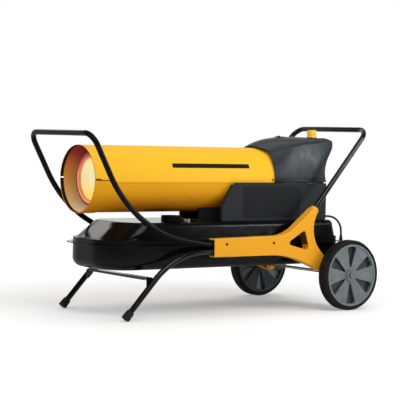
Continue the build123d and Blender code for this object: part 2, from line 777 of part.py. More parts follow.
def make_rear_panel():
    """Sheet panel behind the motor with the round air intake, notched at the folds."""
    x = cover_x - cover_sheet - bench_gap
    y0, y1 = rear_panel_y, panel_back_y
    panel = box(-x, x, y0, y1, cover_bottom_z, hood_bottom_z)
    panel += hood_body(inset=hood_wall + bench_gap, reach=4.0) & box(
        -x, x, y0, y1, hood_bottom_z - 1, hood_top_z)
    fold = cover_sheet + bench_gap
    notch_x = cover_x - cover_flange - bench_gap
    for z in (cover_bottom_z, cover_top_z - cover_sheet):
        notch = box(notch_x, x + 1, y0 - 1, y1 + 1, z - bench_gap, z + fold)
        panel -= notch + mirrored(notch)
    panel -= disc_y(intake_r, y0 - 1, y1 + 1)
    return panel - disc_y(gland_r - 2 + 0.1, y0 - 1, y1 + 1, cord_x, cord_z)


def make_intake_guard():
    """Welded guard over the air intake: flat rings on crossed spokes."""
    wire = guard_wire_r
    stand = 2.8               # spokes clear of the panel
    y = panel_back_y + stand + wire
    reach = intake_r + 9
    pitch = (intake_r + 6 - 18) / (guard_rings - 1)
    guard = None
    for step in range(guard_rings):
        middle = 18 + step * pitch
        hoop = ring_y(middle + wire, middle - wire, y - wire, y + wire)
        guard = hoop if guard is None else guard + hoop
    for turn in range(3):
        spoke = box(-reach, reach, y - 3 * wire + 0.6, y - wire + 0.6, -wire, wire)
        guard += about_barrel(60 * turn + 30, spoke)
    for turn in range(6):
        stud = Pos(reach, 0, 0) * disc_y(5, panel_back_y, y - 0.5, 0, 0)
        guard += about_barrel(60 * turn + 30, stud)
    return guard


def make_ignition_box():
    """Potted ignition transformer standing on the tank's deck beside the motor."""
    x1 = cover_x - cover_flange - 2
    x0 = x1 - ignition_width
    y0 = filter_rear_y - 8
    case = box(x0, x1, y0, y0 + ignition_length, tank_deck_z, tank_deck_z + ignition_height)
    case = fillet(case.edges().filter_by(Axis.Z), 5)
    return case + disc_y(7, y0 - 16, y0, (x0 + x1) / 2, tank_deck_z + ignition_height / 2)


# ---------------------------------------------------------------- fuel tank
def plan(half_width, front_y, rear_y, front_corner, rear_corner, z):
    """Plan outline of the tank at a height: broad rounded front, squarer rear."""
    points = [(half_width, rear_y), (-half_width, rear_y), (-half_width, front_y),
              (half_width, front_y)]
    radii = [rear_corner, rear_corner, front_corner, front_corner]
    wire = FilletPolyline(*[(x, y, z) for x, y in points], radius=radii, close=True)
    return make_face(wire)


def tank_plan(z, inset=0.0):
    """The tank's wall outline."""
    return plan(tank_half_width - inset, tank_front_y + inset, tank_rear_y - inset,
                tank_front_corner - inset, tank_rear_corner - inset, z)


def flange_plan(z):
    """The seam flange's outline, wide at the front and sides."""
    return plan(tank_half_width + flange_out, tank_front_y - flange_out,
                tank_rear_y + flange_rear_out, tank_front_corner + flange_out,
                tank_rear_corner + flange_rear_out, z)


def tank_top(inset):
    """Upper half as a solid: straight band, then a raised deck with a raked front."""
    band = extrude(tank_plan(tank_seam_z, inset), amount=tank_band - inset)
    foot = plan(tank_half_width - 6 - inset, tank_front_y + 14 + inset,
                tank_rear_y - 5 - inset, tank_front_corner - 10 - inset,
                tank_rear_corner - 3 - inset, tank_band_z - 1 - inset)
    deck = plan(tank_half_width - 15 - inset, tank_front_y + 96 + inset,
                tank_rear_y - 12 - inset, tank_front_corner - 26 - inset,
                tank_rear_corner - inset, tank_deck_z - inset)
    raised = loft([foot, deck], ruled=True)
    return band + fillet(raised.edges().group_by(Axis.Z)[-1], tank_deck_r - inset)


def tank_bottom(inset):
    """Lower half as a solid: straight walls into a rounded floor."""
    tub = extrude(tank_plan(tank_bottom_z + inset, inset),
                  amount=tank_seam_z - tank_bottom_z - inset)
    return fillet(tub.edges().group_by(Axis.Z)[0], tank_bottom_r - inset)


def make_tank_upper():
    """Pressed upper half with its flange, filler neck and the holes in its deck."""
    deck = tank_deck_z - 2 * tank_sheet
    half = tank_top(0.0) + extrude(flange_plan(tank_seam_z), amount=tank_sheet)
    half -= tank_top(tank_sheet)
    half -= extrude(tank_plan(tank_seam_z - 1, tank_sheet), amount=tank_sheet + 2)
    half -= disc_z(neck_r - neck_wall, deck, tank_deck_z + 1, cap_x, cap_y)
    half -= disc_z(gauge_r - 6, deck, tank_deck_z + 1, gauge_x, gauge_y)
    half -= disc_z(strainer_r + bench_gap, deck, tank_deck_z + 1, pickup_x, pickup_y)
    neck = ring_z(neck_r, neck_r - neck_wall, tank_deck_z, neck_top_z, cap_x, cap_y)
    return group(half, neck)


def make_tank_lower():
    """Pressed lower half with its flange and the drain hole."""
    half = tank_bottom(0.0)
    half += extrude(flange_plan(tank_seam_z - tank_sheet), amount=tank_sheet)
    half -= tank_bottom(tank_sheet)
    half -= extrude(tank_plan(tank_seam_z - tank_sheet - 1, tank_sheet), amount=tank_sheet + 2)
    return half - disc_z(drain_r + 0.2, tank_bottom_z - 1, tank_bottom_z + 3, 0, drain_y)


def make_drain_plug():
    """Hexagonal plug in the tank's floor."""
    head = extrude(Plane(origin=(0, drain_y, tank_bottom_z - 8)) * RegularPolygon(drain_r + 4, 6),
                   8)
    return head + disc_z(drain_r, tank_bottom_z, tank_bottom_z + 9, 0, drain_y)


def make_cap_liner():
    """Rigid liner with its seal, resting on the filler neck."""
    liner = disc_z(neck_r + 1, neck_top_z, neck_top_z + liner_sheet, cap_x, cap_y)
    return liner + disc_z(neck_r - neck_wall - 1, neck_top_z - 6, neck_top_z, cap_x, cap_y)


def make_fuel_cap():
    """Notched screw cap that turns round its liner."""
    bottom = tank_deck_z + 1.0
    top = bottom + cap_height
    cap = disc_z(cap_r, bottom, top, cap_x, cap_y)
    cap = fillet(cap.edges().group_by(Axis.Z)[-1], 2.5)
    cap -= disc_z(neck_r + 1.6, bottom - 1, neck_top_z + liner_sheet + bench_gap, cap_x, cap_y)
    notch = box(cap_r - 1.2, cap_r + 2, -1.6, 1.6, bottom - 1, top - 5)
    for turn in range(cap_notches):
        cap -= Pos(cap_x, cap_y, 0) * Rot(0, 0, 360 / cap_notches * turn) * notch
    return cap


def make_gauge_body():
    """Bright ring of the fuel gauge, with the rod that guides its float."""
    z0 = tank_deck_z
    stop_z = float_top_z - float_height - float_travel - bench_gap
    ring = ring_z(gauge_r, gauge_r - gauge_wall, z0, z0 + gauge_height, gauge_x, gauge_y)
    ring += disc_z(gauge_r - 2, z0, z0 + 2, gauge_x, gauge_y)
    ring += disc_z(gauge_rod_r, stop_z, z0 + 1, gauge_x, gauge_y)
    return ring + disc_z(gauge_rod_r + 5, stop_z - 3, stop_z, gauge_x, gauge_y)


def make_gauge_lens():
    """Clear window pressed in the gauge's ring."""
    top = tank_deck_z + gauge_height - 0.5
    return disc_z(gauge_r - gauge_wall, top - 2.5, top, gauge_x, gauge_y)


def make_gauge_pointer():
    """Flag that turns under the window as the float moves."""
    z0 = tank_deck_z + 2 + bench_gap
    hub = disc_z(3, z0, z0 + 2.5, gauge_x, gauge_y)
    return hub + box(gauge_x, gauge_x + gauge_r - 8, gauge_y - 1.5, gauge_y + 1.5,
                     z0 + 0.5, z0 + 2)


def make_fuel_float():
    """Cork-shaped float that slides on the gauge's rod."""
    body = disc_z(float_r, float_top_z - float_height, float_top_z, gauge_x, gauge_y)
    body = chamfer(body.edges(), 3)
    return body - disc_z(gauge_rod_r + run_fit, float_top_z - float_height - 1,
                         float_top_z + 1, gauge_x, gauge_y)


def make_fuel_pickup():
    """Suction pipe and strainer, dropped through the deck on a small flange."""
    x, y = pickup_x, pickup_y
    flange = disc_z(strainer_r + 3, tank_deck_z, tank_deck_z + 4, x, y)
    pipe = disc_z(pipe_r, tank_bottom_z + 30, pickup_top_z, x, y)
    return flange + pipe + disc_z(strainer_r, tank_bottom_z + 6, tank_bottom_z + 32, x, y)


# ---------------------------------------------------------------- tube frame
def make_front_handle():
    """One bent tube: both side runs and the front grip bar, drilled for its screws."""
    half = [(frame_x, tube_back_y, front_tube_z), (frame_x, front_rise_y, front_tube_z),
            (frame_x, front_knee_y, front_knee_z), (frame_x, front_bar_y, front_bar_z)]
    far = [(-x, y, z) for x, y, z in reversed(half)]
    radii = [front_rise_r, front_knee_r, tube_corner_r]
    tube = bent_tube(half + far, radii + radii[::-1], tube_r, tube_r - tube_wall)
    for y in (front_screw_y, rear_screw_y):
        hole = disc_x(screw_r + 0.1, frame_x, bracket_outer_x, y, front_tube_z)
        tube -= hole + mirrored(hole)
    return tube


def rear_tube_y(z):
    """Where the rear handle's side run is at a height."""
    return rear_bar_y - (rear_bar_z - z) / tan(radians(rear_tube_angle))


def make_rear_handle():
    """Bent tube from one bracket's upper arm over to the other's."""
    half = [(frame_x, rear_tube_y(rear_tube_end_z), rear_tube_end_z),
            (frame_x, rear_bar_y, rear_bar_z)]
    far = [(-x, y, z) for x, y, z in reversed(half)]
    return bent_tube(half + far, [tube_corner_r, tube_corner_r], tube_r, tube_r - tube_wall)


def leg_point(z):
    """Point on the leg's sloping run at a height."""
    return (frame_x, leg_knee_y - (leg_z - z) / tan(radians(leg_angle)), z)


def make_leg():
    """Bent leg tube from the bracket down to its foot."""
    points = [(frame_x, tube_back_y, leg_z), (frame_x, leg_knee_y, leg_z), leg_point(leg_end_z)]
    return bent_tube(points, [leg_knee_r], leg_r, leg_r - tube_wall)


def make_feet():
    """Rubber caps pushed on the legs' ends, cut flat where they stand."""
    lean = radians(leg_angle)
    run = Vector(0, cos(lean), sin(lean))
    start = Vector(*leg_point(foot_r * cos(lean) - foot_flat))
    foot = extrude(Plane(origin=start, z_dir=run) * Circle(foot_r), foot_length, taper=3)
    bore_start = Vector(*leg_point(leg_end_z)) - run * 0.2
    foot -= extrude(Plane(origin=bore_start, z_dir=run) * Circle(leg_r + bench_gap / 2),
                    amount=2 * foot_length)
    foot -= box(0, 2 * frame_x, start.Y - 100, start.Y + 100, -60, 0)
    return group(foot, mirrored(foot))


def make_cross_brace():
    """Bent strap between the legs, its ends turned down along them, lipped in front."""
    reach = frame_x - leg_r - bench_gap
    y0, y1 = brace_y - brace_width / 2, brace_y + brace_width / 2
    low = brace_z - brace_tab

    def hoop(inset):
        points = [(-reach + inset, low - inset), (-reach + inset, brace_z - inset),
                  (reach - inset, brace_z - inset), (reach - inset, low - inset)]
        line = FilletPolyline(*points, radius=brace_bend_r - inset)
        return make_face(line + Line(points[-1], points[0]))
    strap = extrude(across(y0) * hoop(0.0), amount=-(y1 - y0))
    strap -= extrude(across(y0 - 1) * hoop(brace_sheet), amount=-(y1 - y0 + 2))
    # the tabs' rear edges follow the legs' slope
    tab = Polyline((y0, low), (y0 + brace_tab_foot, low), (y1, low + 18), (y1, brace_z + 1),
                   (y0, brace_z + 1), close=True)
    strap &= extrude(side(0) * make_face(tab), amount=frame_x, both=True)
    lip = box(-reach + brace_bend_r, reach - brace_bend_r, y0, y0 + brace_sheet,
              brace_z - brace_lip, brace_z)
    return strap + lip


# ---------------------------------------------------------------- side brackets
def arm_point(along, out):
    """Point on the upper arm, from its tip along the rear tube and out towards the front."""
    lean = radians(rear_tube_angle)
    return (rear_tube_y(socket_top_z) + along * cos(lean) - out * sin(lean),
            socket_top_z + along * sin(lean) + out * cos(lean))


def bracket_outline():
    """Y-shaped side view: front sockets, upper arm for the rear handle, axle arm."""
    end = 20.0                # rounded end round the axle
    top = front_tube_z + 18.5
    points = [(bracket_front_y, top), (214, top + 6), arm_point(-4, 11), arm_point(-4, -11),
              (308, 279), (397, 186), (wheel_axis_y + end, axle_z + end),
              (wheel_axis_y + end, axle_z - end), (wheel_axis_y - 14, axle_z - end),
              (225, bracket_bottom_z), (bracket_front_y, bracket_bottom_z)]
    radii = [4, 150, 2, 2, 110, 45, end - 1, end - 1, 30, 420, 4]
    return FilletPolyline(*points, radius=radii, close=True)


def bracket_window():
    """Rounded triangular opening between the three arms."""
    return FilletPolyline((210, 243), (293, 291), (318, 214), radius=[9, 9, 12], close=True)


def grown(wire, amount):
    """Face inside a closed outline, drawn in or out by an amount."""
    return offset(make_face(wire), amount, kind=Kind.ARC)


def make_bracket():
    """Open-backed moulding with ribs and sockets that hold the tubes and the axle."""
    inner_x, outer_x = bracket_inner_x, bracket_outer_x
    depth = outer_x - inner_x
    lean = radians(rear_tube_angle)
    arm = Vector(0, cos(lean), sin(lean))
    tip = Vector(frame_x, rear_tube_y(socket_top_z), socket_top_z)
    tube_end = Vector(frame_x, rear_tube_y(rear_tube_end_z - 1), rear_tube_end_z - 1)
    outline = make_face(bracket_outline())
    body = extrude(side(inner_x) * outline, depth - bracket_edge)
    body += extrude(side(outer_x - bracket_edge) * outline, bracket_edge, taper=40)
    # the back and the front end are open
    pocket = grown(bracket_outline(), -bracket_wall) - grown(bracket_window(), bracket_wall)
    hollow = extrude(side(inner_x - 1) * pocket, depth - bracket_wall + 1)
    hollow += box(inner_x - 1, outer_x - bracket_wall, bracket_front_y - 1, front_screw_y,
                  bracket_bottom_z + bracket_wall, front_tube_z + 18.5 - bracket_wall)
    ribs = disc_x(axle_boss_r, inner_x, outer_x, wheel_axis_y, axle_z)
    for y in (-78, -30, 18, 66, 114, 152, 360, 410):
        ribs += box(inner_x, outer_x, y - 2, y + 2, axle_z - 20, 285)
    body = body - hollow + (ribs & hollow)
    body += rod(tuple(tube_end - arm * bracket_wall), tuple(tip), socket_r)
    body -= extrude(side(inner_x - 1) * make_face(bracket_window()), depth + 2)
    body -= rod(tuple(tube_end), tuple(tip + arm * 20), tube_r + bore_gap)
    for z, r in ((front_tube_z, tube_r), (leg_z, leg_r)):
        body -= rod((frame_x, tube_back_y + 0.3, z), (frame_x, bracket_front_y - 1, z),
                    r + bore_gap)
    body -= disc_x(axle_r + bore_gap, inner_x - 1, outer_x + 1, wheel_axis_y, axle_z)
    for y in (front_screw_y, rear_screw_y):
        body -= disc_x(screw_r + 0.1, frame_x, outer_x + 1, y, front_tube_z)
    return body


def make_bracket_screws():
    """Pan-head screws through the brackets into the front tube."""
    screws = []
    for y in (front_screw_y, rear_screw_y):
        shank = disc_x(screw_r, frame_x + 4, bracket_outer_x, y, front_tube_z)
        head = disc_x(screw_head_r, bracket_outer_x, bracket_outer_x + screw_head, y,
                      front_tube_z)
        head = fillet(head.edges().group_by(Axis.X)[-1], 1.4)
        recess = box(bracket_outer_x + screw_head - 1.2, bracket_outer_x + screw_head + 1,
                     y - 0.7, y + 0.7, front_tube_z - 2.6, front_tube_z + 2.6)
        screw = shank + head - recess
        screws += [screw, mirrored(screw)]
    return group(*screws)


# ---------------------------------------------------------------- wheels
def make_tyre():
    """Solid tyre: rounded shoulders, tread grooves and beads that grip the rim."""
    w = tyre_width
    profile = FilletPolyline((rim_lip_r, w - 1), (wheel_r - 4, w), (wheel_r, w - 8),
                             (wheel_r, 8), (wheel_r - 4, 0), (rim_lip_r, 1),
                             radius=[4, 5, 5, 4])
    profile += Polyline((rim_lip_r, 1), (rim_seat_r, bead), (rim_seat_r, w - bead),
                        (rim_lip_r, w - 1))
    tyre = revolve(Plane.XZ * make_face(profile), Axis.Z)
    for z in (13, w / 2, w - 13):
        tyre -= ring_z(wheel_r + 2, wheel_r - 1.6, z - 1.2, z + 1.2, 0, 0)
    return tyre


def pocket_face():
    """Petal between two spokes, from the boss out to the rim."""
    inner, outer = hub_boss_r + 8, rim_inner_r - 1.5
    near = inner * tan(radians(pocket_angle * 0.45))
    far = outer * tan(radians(pocket_angle))
    wire = FilletPolyline((inner, -near), (outer, -far), (outer, far), (inner, near),
                          radius=[2, 9, 9, 2], close=True)
    return make_face(wire)


def make_hub():
    """Moulded hub: rim with lips, boss and broad wedge spokes, pockets sunk on both faces."""
    w = tyre_width
    seat = rim_seat_r - 0.1
    lip = rim_lip_r - 1.5
    rim_profile = Polyline((rim_inner_r, 0.5), (lip, 0.5), (lip, 1.4), (seat, bead - 0.2),
                           (seat, w - bead + 0.2), (lip, w - 1.4), (lip, w - 0.5),
                           (rim_inner_r, w - 0.5), close=True)
    rim = revolve(Plane.XZ * make_face(rim_profile), Axis.Z)
    disc = disc_z(rim_inner_r + 0.5, spoke_set, w - spoke_set, 0, 0)
    for face_z, step in ((w - spoke_set, -spoke_dish), (spoke_set, spoke_dish)):
        disc -= loft([Plane.XY.offset(face_z) * Circle(rim_inner_r + 0.4),
                      Plane.XY.offset(face_z + step) * Circle(hub_boss_r)])
    web_top = (w + hub_web) / 2
    web_bottom = (w - hub_web) / 2
    for turn in range(spoke_count):
        spin = Rot(0, 0, 360 / spoke_count * turn)
        disc -= spin * extrude(Plane.XY.offset(web_top) * pocket_face(), w)
        disc -= spin * extrude(Plane.XY.offset(web_bottom - w) * pocket_face(), w)
    boss = disc_z(hub_boss_r, -hub_boss_out, w - 4, 0, 0)
    return disc + rim + boss - disc_z(axle_r + run_fit, -10, w + 10, 0, 0)


def on_axle(shape):
    """Put a wheel piece, drawn round Z from its inner face, on the right-hand axle end."""
    return Pos(wheel_inner_x, wheel_axis_y, axle_z) * Rot(0, 90, 0) * shape


def make_axle():
    """Straight axle through both brackets."""
    end = wheel_outer_x - 1
    return disc_x(axle_r, -end, end, wheel_axis_y, axle_z)


def make_axle_spacers():
    """Spacer tubes between the brackets and the wheels."""
    spacer = ring_x(spacer_r, axle_r, bracket_outer_x,
                    bracket_outer_x + spacer_length - bench_gap, wheel_axis_y, axle_z)
    return group(spacer, mirrored(spacer))


def make_axle_caps():
    """Domed push-on caps at both axle ends."""
    x0 = wheel_outer_x - 2 + bench_gap
    dome = disc_x(cap_nut_r, x0, x0 + cap_nut_height, wheel_axis_y, axle_z)
    dome = fillet(dome.edges().group_by(Axis.X)[-1], 3)
    dome -= disc_x(axle_r, x0 - 1, wheel_outer_x - 1, wheel_axis_y, axle_z)
    return group(dome, mirrored(dome))


# ---------------------------------------------------------------- controls
def make_knob():
    """Ribbed thermostat knob with its stem."""
    z0 = knob_seat_z
    knob = disc_z(knob_r, z0, z0 + knob_height, knob_x, knob_y)
    knob = fillet(knob.edges().group_by(Axis.Z)[-1], 3)
    groove = disc_z(2.4, z0 + 4, z0 + knob_height + 1, knob_r + 0.8, 0)
    for turn in range(knob_ribs):
        knob -= Pos(knob_x, knob_y, 0) * Rot(0, 0, 360 / knob_ribs * turn) * groove
    return knob + disc_z(stem_r, thermostat_top_z - 10, z0 + 1, knob_x, knob_y)


thermostat_top_z = hood_top_z - 24.0


def make_thermostat():
    """Thermostat body under the hood, its bush passing through the hood's pad."""
    back = rear_panel_y - bench_gap
    case = box(knob_x - 20, knob_x + 20, back - thermostat_depth, back,
               thermostat_top_z - thermostat_height, thermostat_top_z)
    case += disc_z(bush_r, thermostat_top_z, knob_seat_z - 2, knob_x, knob_y)
    return case - disc_z(stem_r + run_fit, thermostat_top_z - 12, knob_seat_z, knob_x, knob_y)


switch_pivot_z = switch_seat_z - 2.4


def make_switch_bezel():
    """Frame of the power switch, let into the hood's roof."""
    half_x, half_y, flange = switch_half_x, switch_half_y, 3.0
    x, y = switch_x, switch_y
    frame = box(x - half_x - flange, x + half_x + flange, y - half_y - flange,
                y + half_y + flange, switch_seat_z, switch_seat_z + 4.2)
    frame += box(x - half_x, x + half_x, y - half_y, y + half_y, switch_seat_z - 17,
                 switch_seat_z)
    in_x, in_y = half_x - switch_wall, half_y - switch_wall
    frame -= box(x - in_x, x + in_x, y - in_y, y + in_y, switch_seat_z - 15, switch_seat_z + 9)
    return frame - disc_x(switch_pin_r + run_fit, x - half_x - 1, x + half_x + 1, y,
                          switch_pivot_z)


def make_power_switch():
    """Rocker with pivot stubs in its frame."""
    z = switch_pivot_z
    half = switch_half_y - switch_wall - 1.8
    reach = switch_half_x - switch_wall - bench_gap
    outline = Polyline((switch_y - half, z + 9.4), (switch_y, z + 6.2), (switch_y + half, z + 5),
                       (switch_y + half - 1.8, z - 6), (switch_y - half + 1.8, z - 6), close=True)
    rocker = extrude(side(switch_x - reach) * make_face(outline), 2 * reach)
    pin = switch_half_x - 0.5
    return rocker + disc_x(switch_pin_r, switch_x - pin, switch_x + pin, switch_y, z)


# ---------------------------------------------------------------- pipes and pigtail
pickup_top_z = tank_deck_z + 12.0
air_x = -cover_x + cover_flange + 14.0
air_run_z = tank_deck_z + 25.0
air_riser_y = lower_rear_y - 10.0


def make_fuel_line():
    """Copper pipe from the suction pipe up through the lower shell to the nozzle."""
    points = [(pickup_x, pickup_y, pickup_top_z), (pickup_x, pickup_y, barrel_z),
              (0, pickup_y, barrel_z), (0, nozzle_rear_y, barrel_z)]
    return bent_bar(points, [25, 9], pipe_r)


def make_air_line():
    """Pipe from the filter cover forward and up to the nozzle's top."""
    y0 = pump_rear_y + filter_length / 2
    y1 = nozzle_rear_y - nozzle_hex_length / 2
    start_z = barrel_z - filter_r - 0.1
    top_z = barrel_z + 31.4
    flat_z = barrel_z + nozzle_hex_r * cos(radians(30)) + 0.1
    points = [(0, y0, start_z), (0, y0, air_run_z), (air_x, y0, air_run_z),
              (air_x, air_riser_y, air_run_z), (air_x, air_riser_y, top_z),
              (0, air_riser_y, top_z), (0, y1, top_z), (0, y1, flat_z)]
    return bent_bar(points, [12, 12, 9, 20, 12, 10], pipe_r)


def make_cord_gland():
    """Tapered strain relief with flex grooves, its neck in the rear panel."""
    y0 = panel_back_y
    tip_y = cord_route[0][1]
    flange = disc_y(gland_r + 2, y0, y0 + 3, cord_x, cord_z)
    taper = loft([across(y0 + 3) * (Pos(cord_x, cord_z) * Circle(gland_r)),
                  across(tip_y) * (Pos(cord_x, cord_z) * Circle(cord_r + 1.2))])
    for step in range(4):
        y = y0 + 9 + 6 * step
        taper -= ring_y(gland_r + 2, cord_r + 1.6, y, y + 1.6, cord_x, cord_z)
    return flange + taper + disc_y(gland_r - 2, y0 - rear_panel_sheet - 5, y0, cord_x, cord_z)


def cord_radii():
    """Largest arc that both runs at each corner of the route allow."""
    points = [Vector(*point) for point in cord_route]
    radii = []
    for before, corner, after in zip(points, points[1:], points[2:]):
        turn = (corner - before).get_angle(after - corner)
        run = min((corner - before).length, (after - corner).length)
        radii.append(0.45 * run / tan(radians(turn / 2)))
    return radii


def make_power_cord():
    """Short round cord that leaves the gland level and drops to its plug."""
    radii = cord_radii()
    path = FilletPolyline(*cord_route, radius=radii)
    cord = bent_bar(cord_route, radii, cord_r)
    section = 3.14159265 * cord_r ** 2
    print("cord radii", [round(radius, 1) for radius in radii],
          "length", round(path.length, 1), "volume over section x length",
          round(cord.volume / (section * path.length), 4))
    return cord


def make_plug():
    """Moulded plug hanging on the cord: ribbed neck, squarish body and three pins."""
    x, y, top = cord_route[-1]
    shoulder = top - plug_neck
    bottom = shoulder - plug_body
    half = plug_half
    neck = loft([Plane(origin=(x, y, top)) * Circle(cord_r + 0.8),
                 Plane(origin=(x, y, shoulder)) * Circle(half - 5)])
    for step in range(3):
        z = top - 6 - 6 * step
        neck -= ring_z(half, cord_r + 1.2, z - 1.6, z, x, y)
    corner = RectangleRounded(2 * half, 2 * half, 7)
    body = loft([Plane(origin=(x, y, shoulder)) * Circle(half - 5),
                 Plane(origin=(x, y, shoulder - 8)) * corner])
    body += extrude(Plane(origin=(x, y, bottom)) * corner, plug_body - 8)
    for offset_x in (-6.35, 6.35):
        body += box(x + offset_x - 0.75, x + offset_x + 0.75, y + 1, y + 7.3, bottom - 17.5,
                    bottom + 1)
    return neck + body + disc_z(2.4, bottom - 20.5, bottom + 1, x, y - 7.8)


# ---------------------------------------------------------------- assembly
keep("upper_shell", make_upper_shell())
keep("lower_shell", make_lower_shell())
keep("combustion_chamber", make_chamber())
keep("chamber_brackets", make_chamber_brackets())
keep("flame_baffle", make_flame_baffle())
keep("burner_head", make_burner_head())
keep("fuel_nozzle", make_fuel_nozzle())
keep("igniter", make_igniter())
keep("photocell", make_photocell())
keep("fan", make_fan())
keep("motor_shaft", make_motor_shaft())
keep("pump_rotor", make_pump_rotor())
keep("motor", make_motor())
keep("motor_bracket", make_motor_bracket())
keep("pump_body", make_pump_body())
keep("filter_cover", make_filter_cover())
keep("pressure_gauge", make_pressure_gauge())
keep("fan_shroud", make_fan_shroud())
keep("barrel_support", make_barrel_support())
keep("hood", make_hood())
keep("rear_panel", make_rear_panel())
keep("intake_guard", make_intake_guard())
keep("ignition_box", make_ignition_box())
keep("fuel_line", make_fuel_line())
keep("air_line", make_air_line())
keep("fuel_tank_upper", make_tank_upper())
keep("fuel_tank_lower", make_tank_lower())
keep("drain_plug", make_drain_plug())
keep("cap_liner", make_cap_liner())
keep("fuel_cap", make_fuel_cap())
keep("fuel_gauge", make_gauge_body())
keep("gauge_lens", make_gauge_lens())
keep("gauge_pointer", make_gauge_pointer())
keep("fuel_float", make_fuel_float())
keep("fuel_pickup", make_fuel_pickup())
keep("front_handle", make_front_handle())
keep("rear_handle", make_rear_handle())
keep("feet", make_feet())
keep("cross_brace", make_cross_brace())
keep("bracket_screws", make_bracket_screws())
keep("axle", make_axle())
keep("axle_spacers", make_axle_spacers())
keep("axle_caps", make_axle_caps())
keep("thermostat_knob", make_knob())
keep("thermostat", make_thermostat())
keep("switch_bezel", make_switch_bezel())
keep("power_switch", make_power_switch())
keep("cord_gland", make_cord_gland())
keep("power_cord", make_power_cord())
keep("plug", make_plug())
for name, shape in (("side_cover", make_side_cover()), ("leg", make_leg()),
                    ("bracket", make_bracket()), ("hub", on_axle(make_hub())),
                    ("tyre", on_axle(make_tyre()))):
    keep(name + "_right", shape)
    keep(name + "_left", mirrored(shape))

for name, shape in nodes.items():
    export_step(shape, f"parts/{name}.step")
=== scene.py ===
import json
from math import cos, pi, radians, sin

import bmesh
import bpy
from mathutils import Matrix, Vector


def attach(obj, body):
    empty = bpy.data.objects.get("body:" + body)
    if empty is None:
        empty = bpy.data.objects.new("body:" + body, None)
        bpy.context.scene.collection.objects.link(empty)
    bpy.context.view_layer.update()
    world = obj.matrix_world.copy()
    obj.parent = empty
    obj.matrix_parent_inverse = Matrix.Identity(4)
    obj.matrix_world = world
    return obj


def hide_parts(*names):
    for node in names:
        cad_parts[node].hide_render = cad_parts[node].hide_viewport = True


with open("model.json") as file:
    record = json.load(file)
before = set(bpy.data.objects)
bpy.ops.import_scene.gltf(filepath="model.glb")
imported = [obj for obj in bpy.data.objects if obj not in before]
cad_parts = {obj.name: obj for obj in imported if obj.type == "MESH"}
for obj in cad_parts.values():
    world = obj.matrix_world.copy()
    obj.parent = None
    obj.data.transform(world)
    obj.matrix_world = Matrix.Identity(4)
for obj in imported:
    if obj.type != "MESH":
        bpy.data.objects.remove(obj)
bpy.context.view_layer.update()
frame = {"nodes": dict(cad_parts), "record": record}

nodes = frame["nodes"]
scene = bpy.context.scene
scene.view_settings.view_transform = "Standard"

# places on the heater, in metres
BARREL_Z = 0.4636               # barrel's axis
AXLE = (0.467, 0.127)           # wheel axis, y and z
SIDES = (1, -1)                 # +X, which the photograph shows, and -X

# ---------------------------------------------------------------- camera
CAMERA_PLACE = (4.2544, -3.0743, 0.6143)
AZIMUTH, PITCH, ROLL = radians(54.269), radians(2.46), radians(1.354)
SENSOR_MM, LENS_MM = 36.0, 131.86

forward = Vector((-sin(AZIMUTH) * cos(PITCH), cos(AZIMUTH) * cos(PITCH), -sin(PITCH)))
level = forward.cross(Vector((0, 0, 1))).normalized()
upright = level.cross(forward)
right = level * cos(ROLL) + upright * sin(ROLL)
up = upright * cos(ROLL) - level * sin(ROLL)
camera_data = bpy.data.cameras.new("camera")
camera_data.sensor_width = SENSOR_MM
camera_data.lens = LENS_MM
camera_data.clip_end = 200.0
camera = bpy.data.objects.new("camera", camera_data)
turn = Matrix((right, up, -forward)).transposed().to_4x4()
camera.matrix_world = Matrix.Translation(CAMERA_PLACE) @ turn
scene.collection.objects.link(camera)
scene.camera = camera


